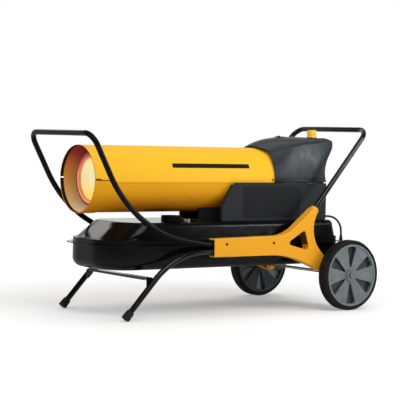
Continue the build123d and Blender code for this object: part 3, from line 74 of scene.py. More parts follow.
# ---------------------------------------------------------------- node helpers
class Look:
    """A material and its node tree; coordinates are in metres, in the row frame at rest."""

    def __init__(self, name):
        self.mat = bpy.data.materials.new(name)
        self.mat.use_nodes = True
        self.tree = self.mat.node_tree
        self.tree.nodes.clear()
        output = self.tree.nodes.new("ShaderNodeOutputMaterial")
        self.bsdf = self.tree.nodes.new("ShaderNodeBsdfPrincipled")
        self.link(self.bsdf.outputs[0], output.inputs["Surface"])
        self.place = self.tree.nodes.new("ShaderNodeTexCoord").outputs["Object"]

    def link(self, a, b):
        self.tree.links.new(a, b)

    def put(self, socket, value):
        """Link a socket, or set a constant on it."""
        if hasattr(value, "is_output"):
            self.link(value, socket)
        elif isinstance(value, (tuple, list)) and len(value) == 3 and socket.type == "RGBA":
            socket.default_value = (*value, 1.0)
        else:
            socket.default_value = value

    def set(self, **values):
        """Put values on the shader's sockets, named with underscores for spaces."""
        for key, value in values.items():
            self.put(self.bsdf.inputs[key.replace("_", " ")], value)

    def math(self, op, a, b=0.0):
        node = self.tree.nodes.new("ShaderNodeMath")
        node.operation = op
        self.put(node.inputs[0], a)
        self.put(node.inputs[1], b)
        return node.outputs[0]

    def times(self, first, *others):
        """Product of values and masks."""
        for other in others:
            first = self.math("MULTIPLY", first, other)
        return first

    def between(self, value, low, high):
        """Hard mask: 1 inside an interval."""
        above = self.math("GREATER_THAN", value, low)
        return self.times(above, self.math("LESS_THAN", value, high))

    def span(self, value, low, high, to_low=0.0, to_high=1.0, smooth=True):
        """Map one interval to another; soft at both ends unless it is asked to be straight."""
        node = self.tree.nodes.new("ShaderNodeMapRange")
        node.interpolation_type = "SMOOTHSTEP" if smooth else "LINEAR"
        for index, item in enumerate((value, low, high, to_low, to_high)):
            self.put(node.inputs[index], item)
        return node.outputs[0]

    def mix(self, fac, a, b):
        node = self.tree.nodes.new("ShaderNodeMix")
        node.data_type = "RGBA"
        self.put(node.inputs[0], fac)
        self.put(node.inputs[6], a)
        self.put(node.inputs[7], b)
        return node.outputs[2]

    def ramp(self, fac, *stops):
        """Colour ramp through (position, colour) stops, which start at 0 and end at 1."""
        node = self.tree.nodes.new("ShaderNodeValToRGB")
        elements = node.color_ramp.elements
        for index, (place, colour) in enumerate(stops):
            stop = elements[index] if index < 2 else elements.new(place)
            stop.position = place
            stop.color = (*colour, 1.0)
        self.put(node.inputs[0], fac)
        return node.outputs[0]

    def stretched(self, x, y, z):
        node = self.tree.nodes.new("ShaderNodeMapping")
        node.inputs["Scale"].default_value = (x, y, z)
        self.link(self.place, node.inputs["Vector"])
        return node.outputs[0]

    def noise(self, scale, detail=3.0, rough=0.5, where=None):
        node = self.tree.nodes.new("ShaderNodeTexNoise")
        self.link(where or self.place, node.inputs["Vector"])
        node.inputs["Scale"].default_value = scale
        node.inputs["Detail"].default_value = detail
        node.inputs["Roughness"].default_value = rough
        return node.outputs[0]

    def wavy(self, value, scale, amount):
        """A value that wanders by some noise."""
        return self.math("ADD", value, self.times(self.noise(scale, 3.0), amount))

    def split(self, vector=None):
        """X, Y and Z of a vector, or else of the place."""
        node = self.tree.nodes.new("ShaderNodeSeparateXYZ")
        self.link(vector or self.place, node.inputs[0])
        return node.outputs

    def geometry(self, name):
        return self.tree.nodes.new("ShaderNodeNewGeometry").outputs[name]

    def radius(self, a, b, a0, b0):
        """Distance from an axis, from two coordinates and the axis's place."""
        da = self.math("SUBTRACT", a, a0)
        db = self.math("SUBTRACT", b, b0)
        return self.math("SQRT", self.math("ADD", self.times(da, da), self.times(db, db)))

    def bump(self, height, distance, strength=1.0, below=None):
        node = self.tree.nodes.new("ShaderNodeBump")
        node.inputs["Strength"].default_value = strength
        node.inputs["Distance"].default_value = distance
        self.put(node.inputs["Height"], height)
        if below is not None:
            self.link(below, node.inputs["Normal"])
        return node.outputs[0]

    def edges(self, width):
        """Soft mask where bevelled and plain normals part, and the bevelled normal itself."""
        bevel = self.tree.nodes.new("ShaderNodeBevel")
        bevel.samples = 4
        bevel.inputs["Radius"].default_value = width
        dot = self.tree.nodes.new("ShaderNodeVectorMath")
        dot.operation = "DOT_PRODUCT"
        self.link(bevel.outputs[0], dot.inputs[0])
        self.link(self.geometry("Normal"), dot.inputs[1])
        return self.span(dot.outputs["Value"], 0.995, 0.88), bevel.outputs[0]


def shade(colour, factor):
    return tuple(min(1.0, channel * factor) for channel in colour)


EDGE_BREAK_SCALE, PEEL_SCALE, SMUDGE_SCALE = 220.0, 170.0, 30.0       # scales of the shared noises


def surface(name, colour, rough, metallic=0.0, coat=0.0, specular=0.5, mottle=0.06,
            mottle_scale=14.0, grain=0.0, grain_scale=900.0, peel=0.0, edge=None,
            edge_width=0.0012, rough_var=0.05, brushed=None):
    """Common ground of the solid finishes: mottled colour, grain, orange peel, and paler edges that
    are part wear and part painted highlight.
    """
    look = Look(name)
    cloud = look.noise(mottle_scale, 4.0, 0.6)
    base = look.mix(cloud, shade(colour, 1.0 - mottle), shade(colour, 1.0 + mottle))
    normal = None
    # paler edges: part wear, part painted highlight along lit edges
    if edge is not None:
        mask, normal = look.edges(edge_width)
        wear_and_highlight = look.times(mask, look.span(look.noise(EDGE_BREAK_SCALE, 3.0), 0.3, 0.7, 0.35, 1.0))
        base = look.mix(wear_and_highlight, base, edge)
    if brushed:
        fine = look.noise(1.0, 2.0, 0.5, look.stretched(*brushed))
        base = look.mix(look.span(fine, 0.3, 0.7), shade(colour, 0.86), shade(colour, 1.1))
        normal = look.bump(fine, 0.00006, 0.5, normal)
    if peel:
        normal = look.bump(look.noise(PEEL_SCALE, 2.0, 0.5), peel, 0.6, normal)
    if grain:
        normal = look.bump(look.noise(grain_scale, 2.0, 0.6), grain, 0.7, normal)
    smudge = look.noise(SMUDGE_SCALE, 4.0, 0.6)
    roughness = look.span(smudge, 0.25, 0.75, rough - rough_var, rough + rough_var)
    look.set(Base_Color=base, Roughness=roughness, Metallic=metallic, Coat_Weight=coat,
             Coat_Roughness=0.08, Specular_IOR_Level=specular)
    if normal is not None:
        look.set(Normal=normal)
    look.base = base
    look.roughness = roughness
    look.normal = normal
    return look


# ---------------------------------------------------------------- materials
YELLOW = (0.93, 0.50, 0.024)
LOWER_YELLOW = (0.80, 0.36, 0.008)
ORANGE = (0.82, 0.36, 0.014)
TANK_BLACK = (0.0030, 0.0032, 0.0036)
TUBE_BLACK = (0.0024, 0.0026, 0.0028)
CAP_BLACK = (0.0026, 0.0028, 0.0030)
HIGHLIGHT_AND_WEAR_GREY = (0.30, 0.32, 0.33)

# a pair of places is where a soft change starts and ends, or the two sides of a patch
UPPER_WALL_R = 0.1152           # inside these radii a shell shows its inner wall, with the fire's light painted on
LOWER_WALL_R = 0.1134
STRIP_WALL_R = 0.1146
STRIPE_Y, STRIPE_Z = (-0.209, 0.124), (0.5065, 0.5215)
JOINT_Y, JOINT_HALF, JOINT_Z = -0.405, 0.0009, (0.49, 0.56)
UNDERSIDE_SHADE_Z = (BARREL_Z - 0.03, BARREL_Z - 0.112)
LAP_SHADE_Z = (BARREL_Z - 0.0036, BARREL_Z - 0.0014)
FIRELIGHT_Z = (BARREL_Z - 0.105, BARREL_Z + 0.125)
SHELL_LIP_Y = (-0.5105, -0.5150)
LIT_WALL_Y = -0.40              # the fire's light is painted as a glow on the wall ahead of this
# strengths of the glow: painted firelight on the shells' and the chamber's walls, the fire's own on
# the baffle
PAINTED_WALL_GLOW, BAFFLE_GLOW, PAINTED_CHAMBER_GLOW = 0.42, 1.0, 0.95


def barrel_paint(name, colour, wall_radius, upper):
    """Coated sheet: satin outside, with painted shade on the lower half's underside; inside, the
    fire's light is painted on as colour and glow.
    """
    look = surface(name, colour, 0.46, specular=0.10, peel=0.00005, mottle=0.03,
                   edge=(1.0, 0.64, 0.16), edge_width=0.0009, rough_var=0.04)
    x, y, z = look.split()
    inside = look.math("LESS_THAN", look.radius(x, z, 0.0, BARREL_Z), wall_radius)
    outer = look.base
    if upper:
        # faint pressed line of the sheet's joint, and the plain black band along both flanks
        joint = look.math("LESS_THAN", look.math("ABSOLUTE", look.math("SUBTRACT", y, JOINT_Y)),
                          JOINT_HALF)
        joint = look.times(joint, look.span(z, *JOINT_Z, 0.1, 0.4))
        outer = look.mix(joint, outer, shade(colour, 0.55))
        band = look.times(look.between(z, *STRIPE_Z), look.between(y, *STRIPE_Y))
        outer = look.mix(band, outer, (0.012, 0.011, 0.010))
    else:
        # painted shade: the lower half darkens towards its underside, and just under the lap
        outer = look.mix(look.span(z, *UNDERSIDE_SHADE_Z), outer, (0.66, 0.22, 0.008))
        lap_shade = look.span(z, *LAP_SHADE_Z)
        outer = look.mix(look.times(lap_shade, 0.85), outer, (0.10, 0.035, 0.006))
    # painted firelight and shade on the wall ahead of the chamber, which also glows: pale below,
    # orange beside the fire, dark red on top
    rise = look.span(look.wavy(z, 34.0, 0.02), *FIRELIGHT_Z, smooth=False)
    painted_firelight = look.ramp(rise, (0.0, (0.66, 0.50, 0.36)), (0.16, (0.50, 0.34, 0.14)),
                     (0.42, (0.46, 0.22, 0.060)), (0.66, (0.46, 0.15, 0.030)),
                     (0.86, (0.24, 0.030, 0.022)), (1.0, (0.13, 0.010, 0.018)))
    # the wall turns dark at the mouth's lip, where the painted firelight and glow stop
    lip = look.span(y, *SHELL_LIP_Y)
    painted_firelight = look.mix(lip, painted_firelight, (0.012, 0.007, 0.004))
    ahead = look.math("LESS_THAN", y, LIT_WALL_Y)
    painted_glow = look.times(inside, ahead, look.math("SUBTRACT", 1.0, lip))
    look.set(Base_Color=look.mix(inside, outer, painted_firelight), Emission_Color=painted_firelight,
             Emission_Strength=look.times(painted_glow, PAINTED_WALL_GLOW))
    return look


HEART_Z = (BARREL_Z - 0.050, BARREL_Z + 0.010)
BAFFLE_RIM_Z, BAFFLE_RIM_R = (BARREL_Z - 0.05, BARREL_Z + 0.05), (0.050, 0.064)


def flame(name):
    """Glowing baffle: cream in the middle, yellow below, deeper in colour towards its rim."""
    look = Look(name)
    x, _, z = look.split()
    wander = look.times(look.math("SUBTRACT", look.noise(28.0, 3.0), 0.5), 0.016)
    radius = look.math("ADD", look.radius(x, z, 0.0, BARREL_Z), wander)
    height = look.wavy(z, 40.0, 0.03)
    heart = look.mix(look.span(height, *HEART_Z), (1.0, 0.76, 0.13), (0.80, 0.74, 0.40))
    rim = look.mix(look.span(height, *BAFFLE_RIM_Z), (0.98, 0.66, 0.10), (0.84, 0.74, 0.24))
    look.set(Base_Color=(0.12, 0.07, 0.04),
             Roughness=look.span(look.noise(60.0), 0.3, 0.7, 0.55, 0.7),
             Emission_Color=look.mix(look.span(radius, *BAFFLE_RIM_R), heart, rim),
             Emission_Strength=BAFFLE_GLOW, Specular_IOR_Level=0.2,
             Normal=look.bump(look.noise(140.0, 3.0), 0.0003))
    return look


RING_Y, RING_R = -0.4735, 0.0770        # the front ring lies ahead of and outside these
LIT_Y, LIT_R = -0.05, 0.0908            # the faces with the fire's painted glow lie ahead of and inside these
RING_LIP_R, RING_TOP_Z = (0.0812, 0.0852), (BARREL_Z + 0.030, BARREL_Z + 0.070)
SKIRT_Y, FIRE_Y = (-0.4700, -0.444), (-0.464, -0.450)
CREAM_Z = (BARREL_Z - 0.070, BARREL_Z + 0.090)


def chamber(name):
    """Heat-tinted steel with the fire's light painted on as a glow: dark red at the lip, orange
    behind it and cream round the fire.
    """
    look = surface(name, (0.16, 0.09, 0.07), 0.55, metallic=0.3, specular=0.2, mottle=0.25,
                   mottle_scale=40.0, grain=0.0001, grain_scale=400.0, rough_var=0.1)
    x, y, z = look.split()
    radius = look.radius(x, z, 0.0, BARREL_Z)
    ring = look.times(look.math("LESS_THAN", y, RING_Y), look.math("GREATER_THAN", radius, RING_R))
    lit = look.times(look.math("LESS_THAN", radius, LIT_R), look.math("LESS_THAN", y, LIT_Y))
    height = look.wavy(z, 36.0, 0.03)
    cream = look.ramp(look.span(height, *CREAM_Z, smooth=False),
                      (0.0, (1.0, 0.60, 0.10)), (0.28, (0.96, 0.72, 0.20)),
                      (0.50, (0.80, 0.68, 0.40)), (0.80, (0.80, 0.76, 0.46)),
                      (1.0, (0.90, 0.70, 0.26)))
    depth = look.wavy(y, 46.0, 0.008)
    skirt = look.ramp(look.span(depth, *SKIRT_Y, smooth=False),
                      (0.0, (0.62, 0.16, 0.060)), (0.45, (0.80, 0.34, 0.14)),
                      (1.0, (0.90, 0.46, 0.20)))
    deep = look.mix(look.span(depth, *FIRE_Y), skirt, cream)
    # painted firelight on the front ring, dimmer on top and darkest at the lip
    warm = look.mix(look.span(height, *RING_TOP_Z), (0.84, 0.34, 0.14), (0.56, 0.035, 0.060))
    lip = look.mix(look.span(radius, *RING_LIP_R), warm, (0.22, 0.014, 0.007))
    look.set(Emission_Color=look.mix(ring, deep, lip),
             Emission_Strength=look.times(lit, PAINTED_CHAMBER_GLOW))
    return look


TYRE_WALL_R, TREAD_R = (0.1150, 0.1200), (0.124, 0.127)
TYRE_RING_PITCH = 0.0022


def tyre(name):
    """Moulded rubber with fine rings on its walls and a dusty tread."""
    look = surface(name, (0.0085, 0.0085, 0.0090), 0.6, mottle=0.15, mottle_scale=50.0,
                   grain=0.00012, grain_scale=1100.0, specular=0.12)
    _, y, z = look.split()
    radius = look.radius(y, z, *AXLE)
    rings = look.math("SINE", look.times(radius, 2 * pi / TYRE_RING_PITCH))
    height = look.times(rings, look.between(radius, *TYRE_WALL_R), 0.5)
    dust = look.times(look.span(radius, *TREAD_R),
                      look.span(look.noise(90.0, 4.0), 0.4, 0.7, 0.0, 0.35))
    look.set(Base_Color=look.mix(dust, look.base, (0.030, 0.029, 0.027)),
             Normal=look.bump(height, 0.0004, 0.8, look.normal))
    return look


HUB_RIM_R = (0.1092, 0.1125)
POCKET_SHADE_X, POCKET_FLOOR_X = (0.2755, 0.2705), 0.262
HUB_BACK_SHADE_X = (0.2600, 0.2540)


def wheel_hub(name):
    """Grey moulded hub with a fine grain: a painted highlight along the rim's edge, and painted
    shade on the pocket floors and the hub's back.
    """
    look = surface(name, (0.130, 0.150, 0.160), 0.28, mottle=0.34, mottle_scale=24.0,
                   grain=0.00008, grain_scale=1300.0, edge=HIGHLIGHT_AND_WEAR_GREY, specular=0.5)
    x, y, z = look.split()
    # painted highlight along the rim's edge
    rim = look.between(look.radius(y, z, *AXLE), *HUB_RIM_R)
    base = look.mix(look.times(rim, 0.30), look.base, HIGHLIGHT_AND_WEAR_GREY)
    # painted shade on the pocket floors, then on the hub's back
    side = look.math("ABSOLUTE", x)
    pocket_shade = look.times(look.span(side, *POCKET_SHADE_X), look.math("GREATER_THAN", side, POCKET_FLOOR_X))
    base = look.mix(look.times(pocket_shade, 0.86), base, (0.010, 0.011, 0.012))
    back_shade = look.span(side, *HUB_BACK_SHADE_X, 0.0, 0.92)
    look.set(Base_Color=look.mix(back_shade, base, (0.008, 0.009, 0.010)))
    return look


FILM_X, FILM_Y, FILM_Z = 0.1318, (0.078, 0.343), (0.330, 0.444)


def cover_finish(name):
    """Dark coated sheet; the +X face carries a plain, slightly smoother dark film."""
    look = surface(name, (0.017, 0.020, 0.025), 0.48, mottle=0.05, peel=0.00005,
                   edge=(0.16, 0.17, 0.18), specular=0.16)
    x, y, z = look.split()
    film = look.times(look.math("GREATER_THAN", x, FILM_X), look.between(y, *FILM_Y),
                      look.between(z, *FILM_Z))
    look.set(Base_Color=look.mix(look.times(film, 0.85), look.base, (0.007, 0.008, 0.010)),
             Roughness=look.math("SUBTRACT", look.roughness, look.times(film, 0.10)))
    return look


def tank_finish(name):
    """Black gloss on pressed sheet: soft waves in the steel, rounded edges, light orange peel."""
    look = surface(name, TANK_BLACK, 0.15, mottle=0.05, peel=0.00005, specular=0.14, rough_var=0.03,
                   edge=(0.0040, 0.0042, 0.0046), edge_width=0.0060)
    look.set(Normal=look.bump(look.noise(11.0, 2.0), 0.0016, 0.5, look.normal))
    return look


FOOT_SHADE_Z, FOOT_SHADE_Y = (0.4800, 0.4720), 0.215    # painted shade lies at the skirt's foot, below and behind these
HOOD_Z = (0.482, 0.566)


def hood_finish(name):
    """Dark moulded plastic with a fine grain; less sheen lower down, and painted shade at the foot
    of its skirt.
    """
    look = surface(name, (0.019, 0.024, 0.032), 0.39, mottle=0.06, grain=0.00007, grain_scale=700.0,
                   edge=(0.09, 0.10, 0.11), specular=0.32)
    _, y, z = look.split()
    # painted shadow line where the skirt's foot meets the covers
    foot_shade = look.times(look.span(z, *FOOT_SHADE_Z), look.math("GREATER_THAN", y, FOOT_SHADE_Y))
    # the sheen fades down the hood; 0.32 stays as the plain value under its link
    look.set(Base_Color=look.mix(look.times(foot_shade, 0.85), look.base, (0.006, 0.007, 0.008)),
             Specular_IOR_Level=look.span(z, *HOOD_Z, 0.13, 0.40))
    return look


WINDOW_SHADE_X, WINDOW_Y, WINDOW_Z = (0.2270, 0.2200), (0.250, 0.330), (0.238, 0.300)


def bracket_finish(name):
    """Orange moulding: paler edges, part wear and part painted highlight, and painted shade on the
    walls inside its window.
    """
    look = surface(name, ORANGE, 0.42, mottle=0.03, grain=0.00005, specular=0.16,
                   grain_scale=1000.0, edge=(1.0, 0.62, 0.18), edge_width=0.0022)
    x, y, z = look.split()
    across = look.split(look.geometry("True Normal"))["X"]
    walls = look.math("LESS_THAN", look.math("ABSOLUTE", across), 0.35)
    # painted shade on the window's walls, deeper from the face inwards
    inner = look.times(walls, look.between(y, *WINDOW_Y), look.between(z, *WINDOW_Z),
                       look.span(look.math("ABSOLUTE", x), *WINDOW_SHADE_X))
    look.set(Base_Color=look.mix(look.times(inner, 0.90), look.base, (0.050, 0.016, 0.003)))
    return look


def clear_lens(name):
    look = Look(name)
    look.set(Base_Color=(0.95, 0.97, 0.97), Transmission_Weight=1.0, IOR=1.46,
             Roughness=look.span(look.noise(120.0), 0.3, 0.7, 0.03, 0.08))
    return look


# one look per material slot of the record
looks = {
    "shell_paint": barrel_paint("shell_paint", YELLOW, UPPER_WALL_R, upper=True),
    "lower_shell_paint": barrel_paint("lower_shell_paint", LOWER_YELLOW, LOWER_WALL_R, upper=False),
    "chamber_steel": chamber("chamber_steel"),
    "bright_steel": surface("bright_steel", (0.52, 0.53, 0.54), 0.28, metallic=1.0, mottle=0.05,
                            rough_var=0.08, brushed=(60.0, 900.0, 900.0)),
    "brass_fitting": surface("brass_fitting", (0.55, 0.36, 0.13), 0.3, metallic=1.0, mottle=0.08,
                             grain=0.00004),
    "ceramic": surface("ceramic", (0.78, 0.76, 0.70), 0.25, coat=0.3, mottle=0.03),
    "black_plastic": surface("black_plastic", (0.011, 0.012, 0.013), 0.5, mottle=0.12,
                             grain=0.00010, edge=(0.04, 0.04, 0.042), specular=0.2),
    "fan_aluminium": surface("fan_aluminium", (0.55, 0.56, 0.57), 0.36, metallic=1.0, mottle=0.06,
                             brushed=(500.0, 60.0, 500.0)),
    "motor_paint": surface("motor_paint", (0.020, 0.022, 0.025), 0.42, mottle=0.08, peel=0.00008,
                           edge=(0.08, 0.08, 0.08), specular=0.25),
    "zinc_plate": surface("zinc_plate", (0.42, 0.43, 0.44), 0.38, metallic=0.9, mottle=0.12,
                          mottle_scale=60.0),
    "pump_casting": surface("pump_casting", (0.36, 0.37, 0.38), 0.48, metallic=0.9, mottle=0.1,
                            grain=0.00018, grain_scale=500.0),
    "gauge_chrome": surface("gauge_chrome", (0.66, 0.65, 0.62), 0.18, metallic=1.0, mottle=0.03),
    "cover_paint": cover_finish("cover_paint"),
    "hood_plastic": hood_finish("hood_plastic"),
    "black_wire": surface("black_wire", (0.008, 0.008, 0.009), 0.35, mottle=0.08, peel=0.00004,
                          specular=0.2),
    "pipe_metal": surface("pipe_metal", (0.60, 0.33, 0.18), 0.3, metallic=1.0, mottle=0.12,
                          mottle_scale=50.0),
    "tank_paint": tank_finish("tank_paint"),
    "cap_plastic": surface("cap_plastic", CAP_BLACK, 0.36, mottle=0.08, grain=0.00008,
                           edge=(0.006, 0.006, 0.006), specular=0.07),
    "red_plastic": surface("red_plastic", (0.45, 0.02, 0.015), 0.35, mottle=0.05, coat=0.1),
    "tube_paint": surface("tube_paint", TUBE_BLACK, 0.13, mottle=0.05, peel=0.00003,
                          rough_var=0.03, specular=0.36),
    "black_rubber": surface("black_rubber", (0.010, 0.010, 0.0105), 0.6, mottle=0.12,
                            grain=0.00012, specular=0.18),
    "bracket_plastic": bracket_finish("bracket_plastic"),
    "hub_plastic": wheel_hub("hub_plastic"),
    "tyre_rubber": tyre("tyre_rubber"),
    "knob_plastic": surface("knob_plastic", (0.93, 0.58, 0.045), 0.38, mottle=0.04, specular=0.3,
                            edge=(1.0, 0.74, 0.22)),
    "switch_plastic": surface("switch_plastic", (0.015, 0.015, 0.017), 0.28, mottle=0.05,
                              edge=(0.07, 0.07, 0.07), specular=0.25),
    "cord_rubber": surface("cord_rubber", (0.010, 0.010, 0.0105), 0.5, mottle=0.1, grain=0.00005,
                           specular=0.2),
    "clear_lens": clear_lens("clear_lens"),
}


def dress(look, *names):
    """Put one look on every slot of the named CAD objects."""
    for name in names:
        for item in nodes[name].material_slots:
            item.material = look.mat


for entry in frame["record"]["subparts"]:
    dress(looks[entry["material_slot"]], entry["node"])

# looks that differ from the rest of their slot
dress(flame("glowing_steel"), "flame_baffle")
dress(surface("dark_paint", (0.012, 0.012, 0.013), 0.5, mottle=0.1, peel=0.00006, specular=0.2),
      "barrel_support", "motor_bracket", "fan_shroud")
dress(surface("handle_paint", TUBE_BLACK, 0.22, mottle=0.05, peel=0.00003, specular=0.10),
      "front_handle")
dress(surface("dull_zinc", (0.20, 0.21, 0.22), 0.42, metallic=0.8, mottle=0.15, mottle_scale=70.0),
      "axle_caps")
dress(surface("dark_zinc", (0.085, 0.050, 0.026), 0.45, metallic=0.6, mottle=0.15,
              mottle_scale=90.0),
      "bracket_screws")


# ---------------------------------------------------------------- added pieces
def add(name, build, slot, look=None):
    """A new piece from a bmesh builder, in the row frame, riding on the frame's body."""
    mesh = bpy.data.meshes.new(name)
    work = bmesh.new()
    build(work)
    bmesh.ops.recalc_face_normals(work, faces=work.faces)
    work.to_mesh(mesh)
    work.free()
    mesh.materials.append((look or looks[slot]).mat)
    thing = bpy.data.objects.new(name, mesh)
    scene.collection.objects.link(thing)
    for polygon in mesh.polygons:
        polygon.use_smooth = True
    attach(thing, "frame")


# pan head with a dished middle, as (radius, height) points
HEAD = ((0.0034, -0.0006), (0.0036, 0.0004), (0.0033, 0.0013), (0.0025, 0.0020),
        (0.0016, 0.0023), (0.0014, 0.0011))
HEAD_STEPS = 28


def screw_head(work, place, direction):
    """Screw head turned from its profile, standing on a place along a direction."""
    aim = Vector(direction).normalized().to_track_quat("Z", "Y").to_matrix()
    rings = []
    for radius, height in HEAD:
        ring = []
        for step in range(HEAD_STEPS):
            angle = 2 * pi * step / HEAD_STEPS
            point = aim @ Vector((radius * cos(angle), radius * sin(angle), height))
            ring.append(work.verts.new(point + Vector(place)))
        rings.append(ring)
    for lower, upper in zip(rings, rings[1:]):
        for step in range(HEAD_STEPS):
            after = (step + 1) % HEAD_STEPS
            work.faces.new((lower[step], lower[after], upper[after], upper[step]))
    work.faces.new(rings[0][::-1])
    work.faces.new(rings[-1])


LOWER_SHELL_R = 0.1140
SCREW_ANGLE = radians(-32.2)
SCREW_YS = (-0.118, -0.230)


def shell_screws(work):
    """Screws through the lower shell into the chamber's straps, both sides."""
    for side in SIDES:
        for y in SCREW_YS:
            normal = Vector((side * cos(SCREW_ANGLE), 0.0, sin(SCREW_ANGLE)))
            screw_head(work, Vector((0, y, BARREL_Z)) + normal * LOWER_SHELL_R, normal)


HOOD_SCREW = (0.1159, 0.2235, 0.4668)


def hood_screws(work):
    """Dark screws that hold the upper shell's rear corners under the hood."""
    x, y, z = HOOD_SCREW
    for side in SIDES:
        screw_head(work, (side * x, y, z), (side, 0, 0))


STRIP_RADII = (0.1139, 0.1148)
STRIP_LOW, STRIP_SPREAD = -2.3, 5.5         # degrees from the barrel's level
STRIP_STEPS = 6
STRIP_FRONTS = (-0.5242, -0.5100)           # near side, far side
STRIP_CREASE = 0.0004                       # a row this close to each end keeps it crisp
STRIP_BACK = (-0.4830, -0.4564, -0.4560)


def seam_strips(work):
    """Lapped edge of the upper half behind the seam's narrow slits, one curved band each side,
    coloured dark as painted shade in the slits.

    The near one runs on to the mouth, where the slot looks dark.
    """
    for side, front in zip(SIDES, STRIP_FRONTS):
        stations = (front, front + STRIP_CREASE, *STRIP_BACK)
        rows = []
        for radius in STRIP_RADII:
            for step in range(STRIP_STEPS + 1):
                angle = radians(STRIP_LOW + STRIP_SPREAD * step / STRIP_STEPS)
                x, z = side * radius * cos(angle), BARREL_Z + radius * sin(angle)
                rows.append([work.verts.new((x, y, z)) for y in stations])
        inner, outer = rows[:STRIP_STEPS + 1], rows[:STRIP_STEPS:-1]
        loop = inner + outer
        for first, second in zip(loop, loop[1:] + loop[:1]):
            for index in range(len(first) - 1):
                work.faces.new((first[index], first[index + 1], second[index + 1], second[index]))
        for index in range(STRIP_STEPS):
            for end in (0, -1):
                work.faces.new([row[end] for row in (inner[index], inner[index + 1],
                                                     outer[-index - 2], outer[-index - 1])])


# the strips' dark colour is painted shade for the slits
add("seam_strips", seam_strips, "lower_shell_paint",
    barrel_paint("seam_strip", (0.030, 0.012, 0.004), STRIP_WALL_R, upper=False))
add("shell_screws", shell_screws, "zinc_plate")
add("hood_screws", hood_screws, "black_wire")

# ---------------------------------------------------------------- cord
# part.py's points: level from the gland, then down behind the tank to the plug
ROUTE = [(0.100, 0.490, 0.331), (0.100, 0.514, 0.331), (0.100, 0.539, 0.323),
         (0.100, 0.559, 0.307), (0.100, 0.571, 0.284), (0.100, 0.571, 0.2585)]
CORD_R = 0.0038
curve = bpy.data.curves.new("cord_line", "CURVE")
curve.dimensions = "3D"
spline = curve.splines.new("NURBS")
spline.points.add(len(ROUTE) - 1)
for point, place in zip(spline.points, ROUTE):
    point.co = (*place, 1.0)
spline.order_u = 3
spline.use_endpoint_u = True
spline.resolution_u = 16
curve.bevel_depth = CORD_R
curve.bevel_resolution = 6
curve.use_fill_caps = True
curve.materials.append(looks["cord_rubber"].mat)
cord = bpy.data.objects.new("mains_cord", curve)
scene.collection.objects.link(cord)
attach(cord, "frame")
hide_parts("power_cord")

# ---------------------------------------------------------------- studio
FLOOR_R, FLOOR_SIDES = 3.6, 96
FLOOR_DROP = 0.0004             # just under the wheels and feet
FADE_R, FADE_GLOW = (0.6, 3.0), (0.22, 0.95)

corners = [2 * pi * n / FLOOR_SIDES for n in range(FLOOR_SIDES)]
floor_mesh = bpy.data.meshes.new("floor")
floor_mesh.from_pydata([(FLOOR_R * cos(angle), FLOOR_R * sin(angle), 0) for angle in corners], [],
                       [list(range(FLOOR_SIDES))])
floor = bpy.data.objects.new("floor", floor_mesh)
floor.location.z = -FLOOR_DROP
scene.collection.objects.link(floor)
# the camera sees the floor fade to white away from the heater; it keeps the shadow near it
pale = Look("floor_pale")
x, y, _ = pale.split()
away = pale.span(pale.radius(x, y, 0.0, 0.0), *FADE_R, *FADE_GLOW)
seen = pale.tree.nodes.new("ShaderNodeLightPath").outputs["Is Camera Ray"]
pale.set(Base_Color=(0.80, 0.80, 0.80), Roughness=0.9, Emission_Color=(1.0, 1.0, 1.0),
         Emission_Strength=pale.times(seen, away))
floor_mesh.materials.append(pale.mat)

world = bpy.data.worlds.new("studio")
scene.world = world
world.use_nodes = True
tree = world.node_tree
tree.nodes.clear()
output = tree.nodes.new("ShaderNodeOutputWorld")


def backdrop(strength):
    """Even white light of one strength."""
    node = tree.nodes.new("ShaderNodeBackground")
    node.inputs["Color"].default_value = (1.0, 1.0, 1.0, 1.0)
    node.inputs["Strength"].default_value = strength
    return node.outputs[0]


def choose(fac, first, second):
    """Second shader where the factor is one."""
    node = tree.nodes.new("ShaderNodeMixShader")
    for socket, item in zip(node.inputs, (fac, first, second)):
        tree.links.new(item, socket)
    return node.outputs[0]


def combine(operation, first, second):
    node = tree.nodes.new("ShaderNodeMath")
    node.operation = operation
    tree.links.new(first, node.inputs[0])
    tree.links.new(second, node.inputs[1])
    return node.outputs[0]


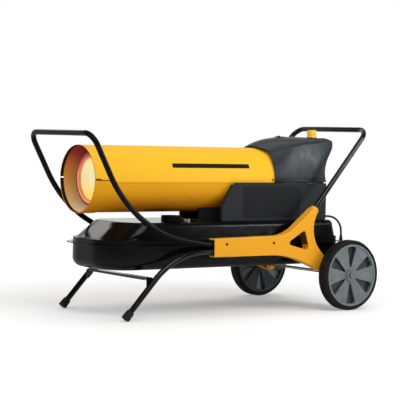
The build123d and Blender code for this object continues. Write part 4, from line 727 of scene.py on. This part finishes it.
def fade(value, low, high):
    """0 to 1 over a span of the value, softly."""
    node = tree.nodes.new("ShaderNodeMapRange")
    node.interpolation_type = "SMOOTHSTEP"
    node.inputs["From Min"].default_value = low
    node.inputs["From Max"].default_value = high
    tree.links.new(value, node.inputs["Value"])
    return node.outputs[0]


# gloss and metal show the white backdrop behind the heater, low down, and the dim room elsewhere
BEHIND = (-0.81, 0.58, 0.0)
BEHIND_FADE, LOW_FADE = (-0.10, 0.50), (0.62, 0.22)
ROOM, FILL = 0.12, 0.46

path = tree.nodes.new("ShaderNodeLightPath").outputs
sight = tree.nodes.new("ShaderNodeTexCoord").outputs["Generated"]
across = tree.nodes.new("ShaderNodeVectorMath")
across.operation = "DOT_PRODUCT"
across.inputs[1].default_value = BEHIND
tree.links.new(sight, across.inputs[0])
height = tree.nodes.new("ShaderNodeSeparateXYZ")
tree.links.new(sight, height.inputs[0])
screen = combine("MULTIPLY", fade(across.outputs["Value"], *BEHIND_FADE),
                 fade(height.outputs["Z"], *LOW_FADE))
clear = combine("MAXIMUM", path["Is Camera Ray"], path["Is Transmission Ray"])
room = choose(screen, backdrop(ROOM), backdrop(1.0))
lit = choose(path["Is Glossy Ray"], backdrop(FILL), room)
tree.links.new(choose(clear, lit, backdrop(1.0)), output.inputs["Surface"])


def lamp(name, place, target, width, height, power):
    """Soft rectangular lamp that faces a point."""
    data = bpy.data.lights.new(name, "AREA")
    data.shape = "RECTANGLE"
    data.size = width
    data.size_y = height
    data.energy = power
    thing = bpy.data.objects.new(name, data)
    thing.location = place
    aim = Vector(target) - Vector(place)
    thing.rotation_euler = aim.to_track_quat("-Z", "Y").to_euler()
    scene.collection.objects.link(thing)


lamp("key", (2.6, -0.4, 3.0), (0, 0, 0.35), 2.2, 1.6, 54)
lamp("front", (0.4, -3.4, 2.2), (0, -0.3, 0.35), 2.0, 1.4, 26)
lamp("over", (-0.8, 0.6, 3.4), (0, 0, 0.4), 2.4, 2.4, 20)
lamp("far_left", (-3.2, 0.15, 2.5), (0, -0.4, 0.28), 1.4, 1.0, 12)
lamp("hood_side", (1.43, 1.21, 0.89), (0.113, 0.377, 0.567), 0.44, 0.40, 9.0)
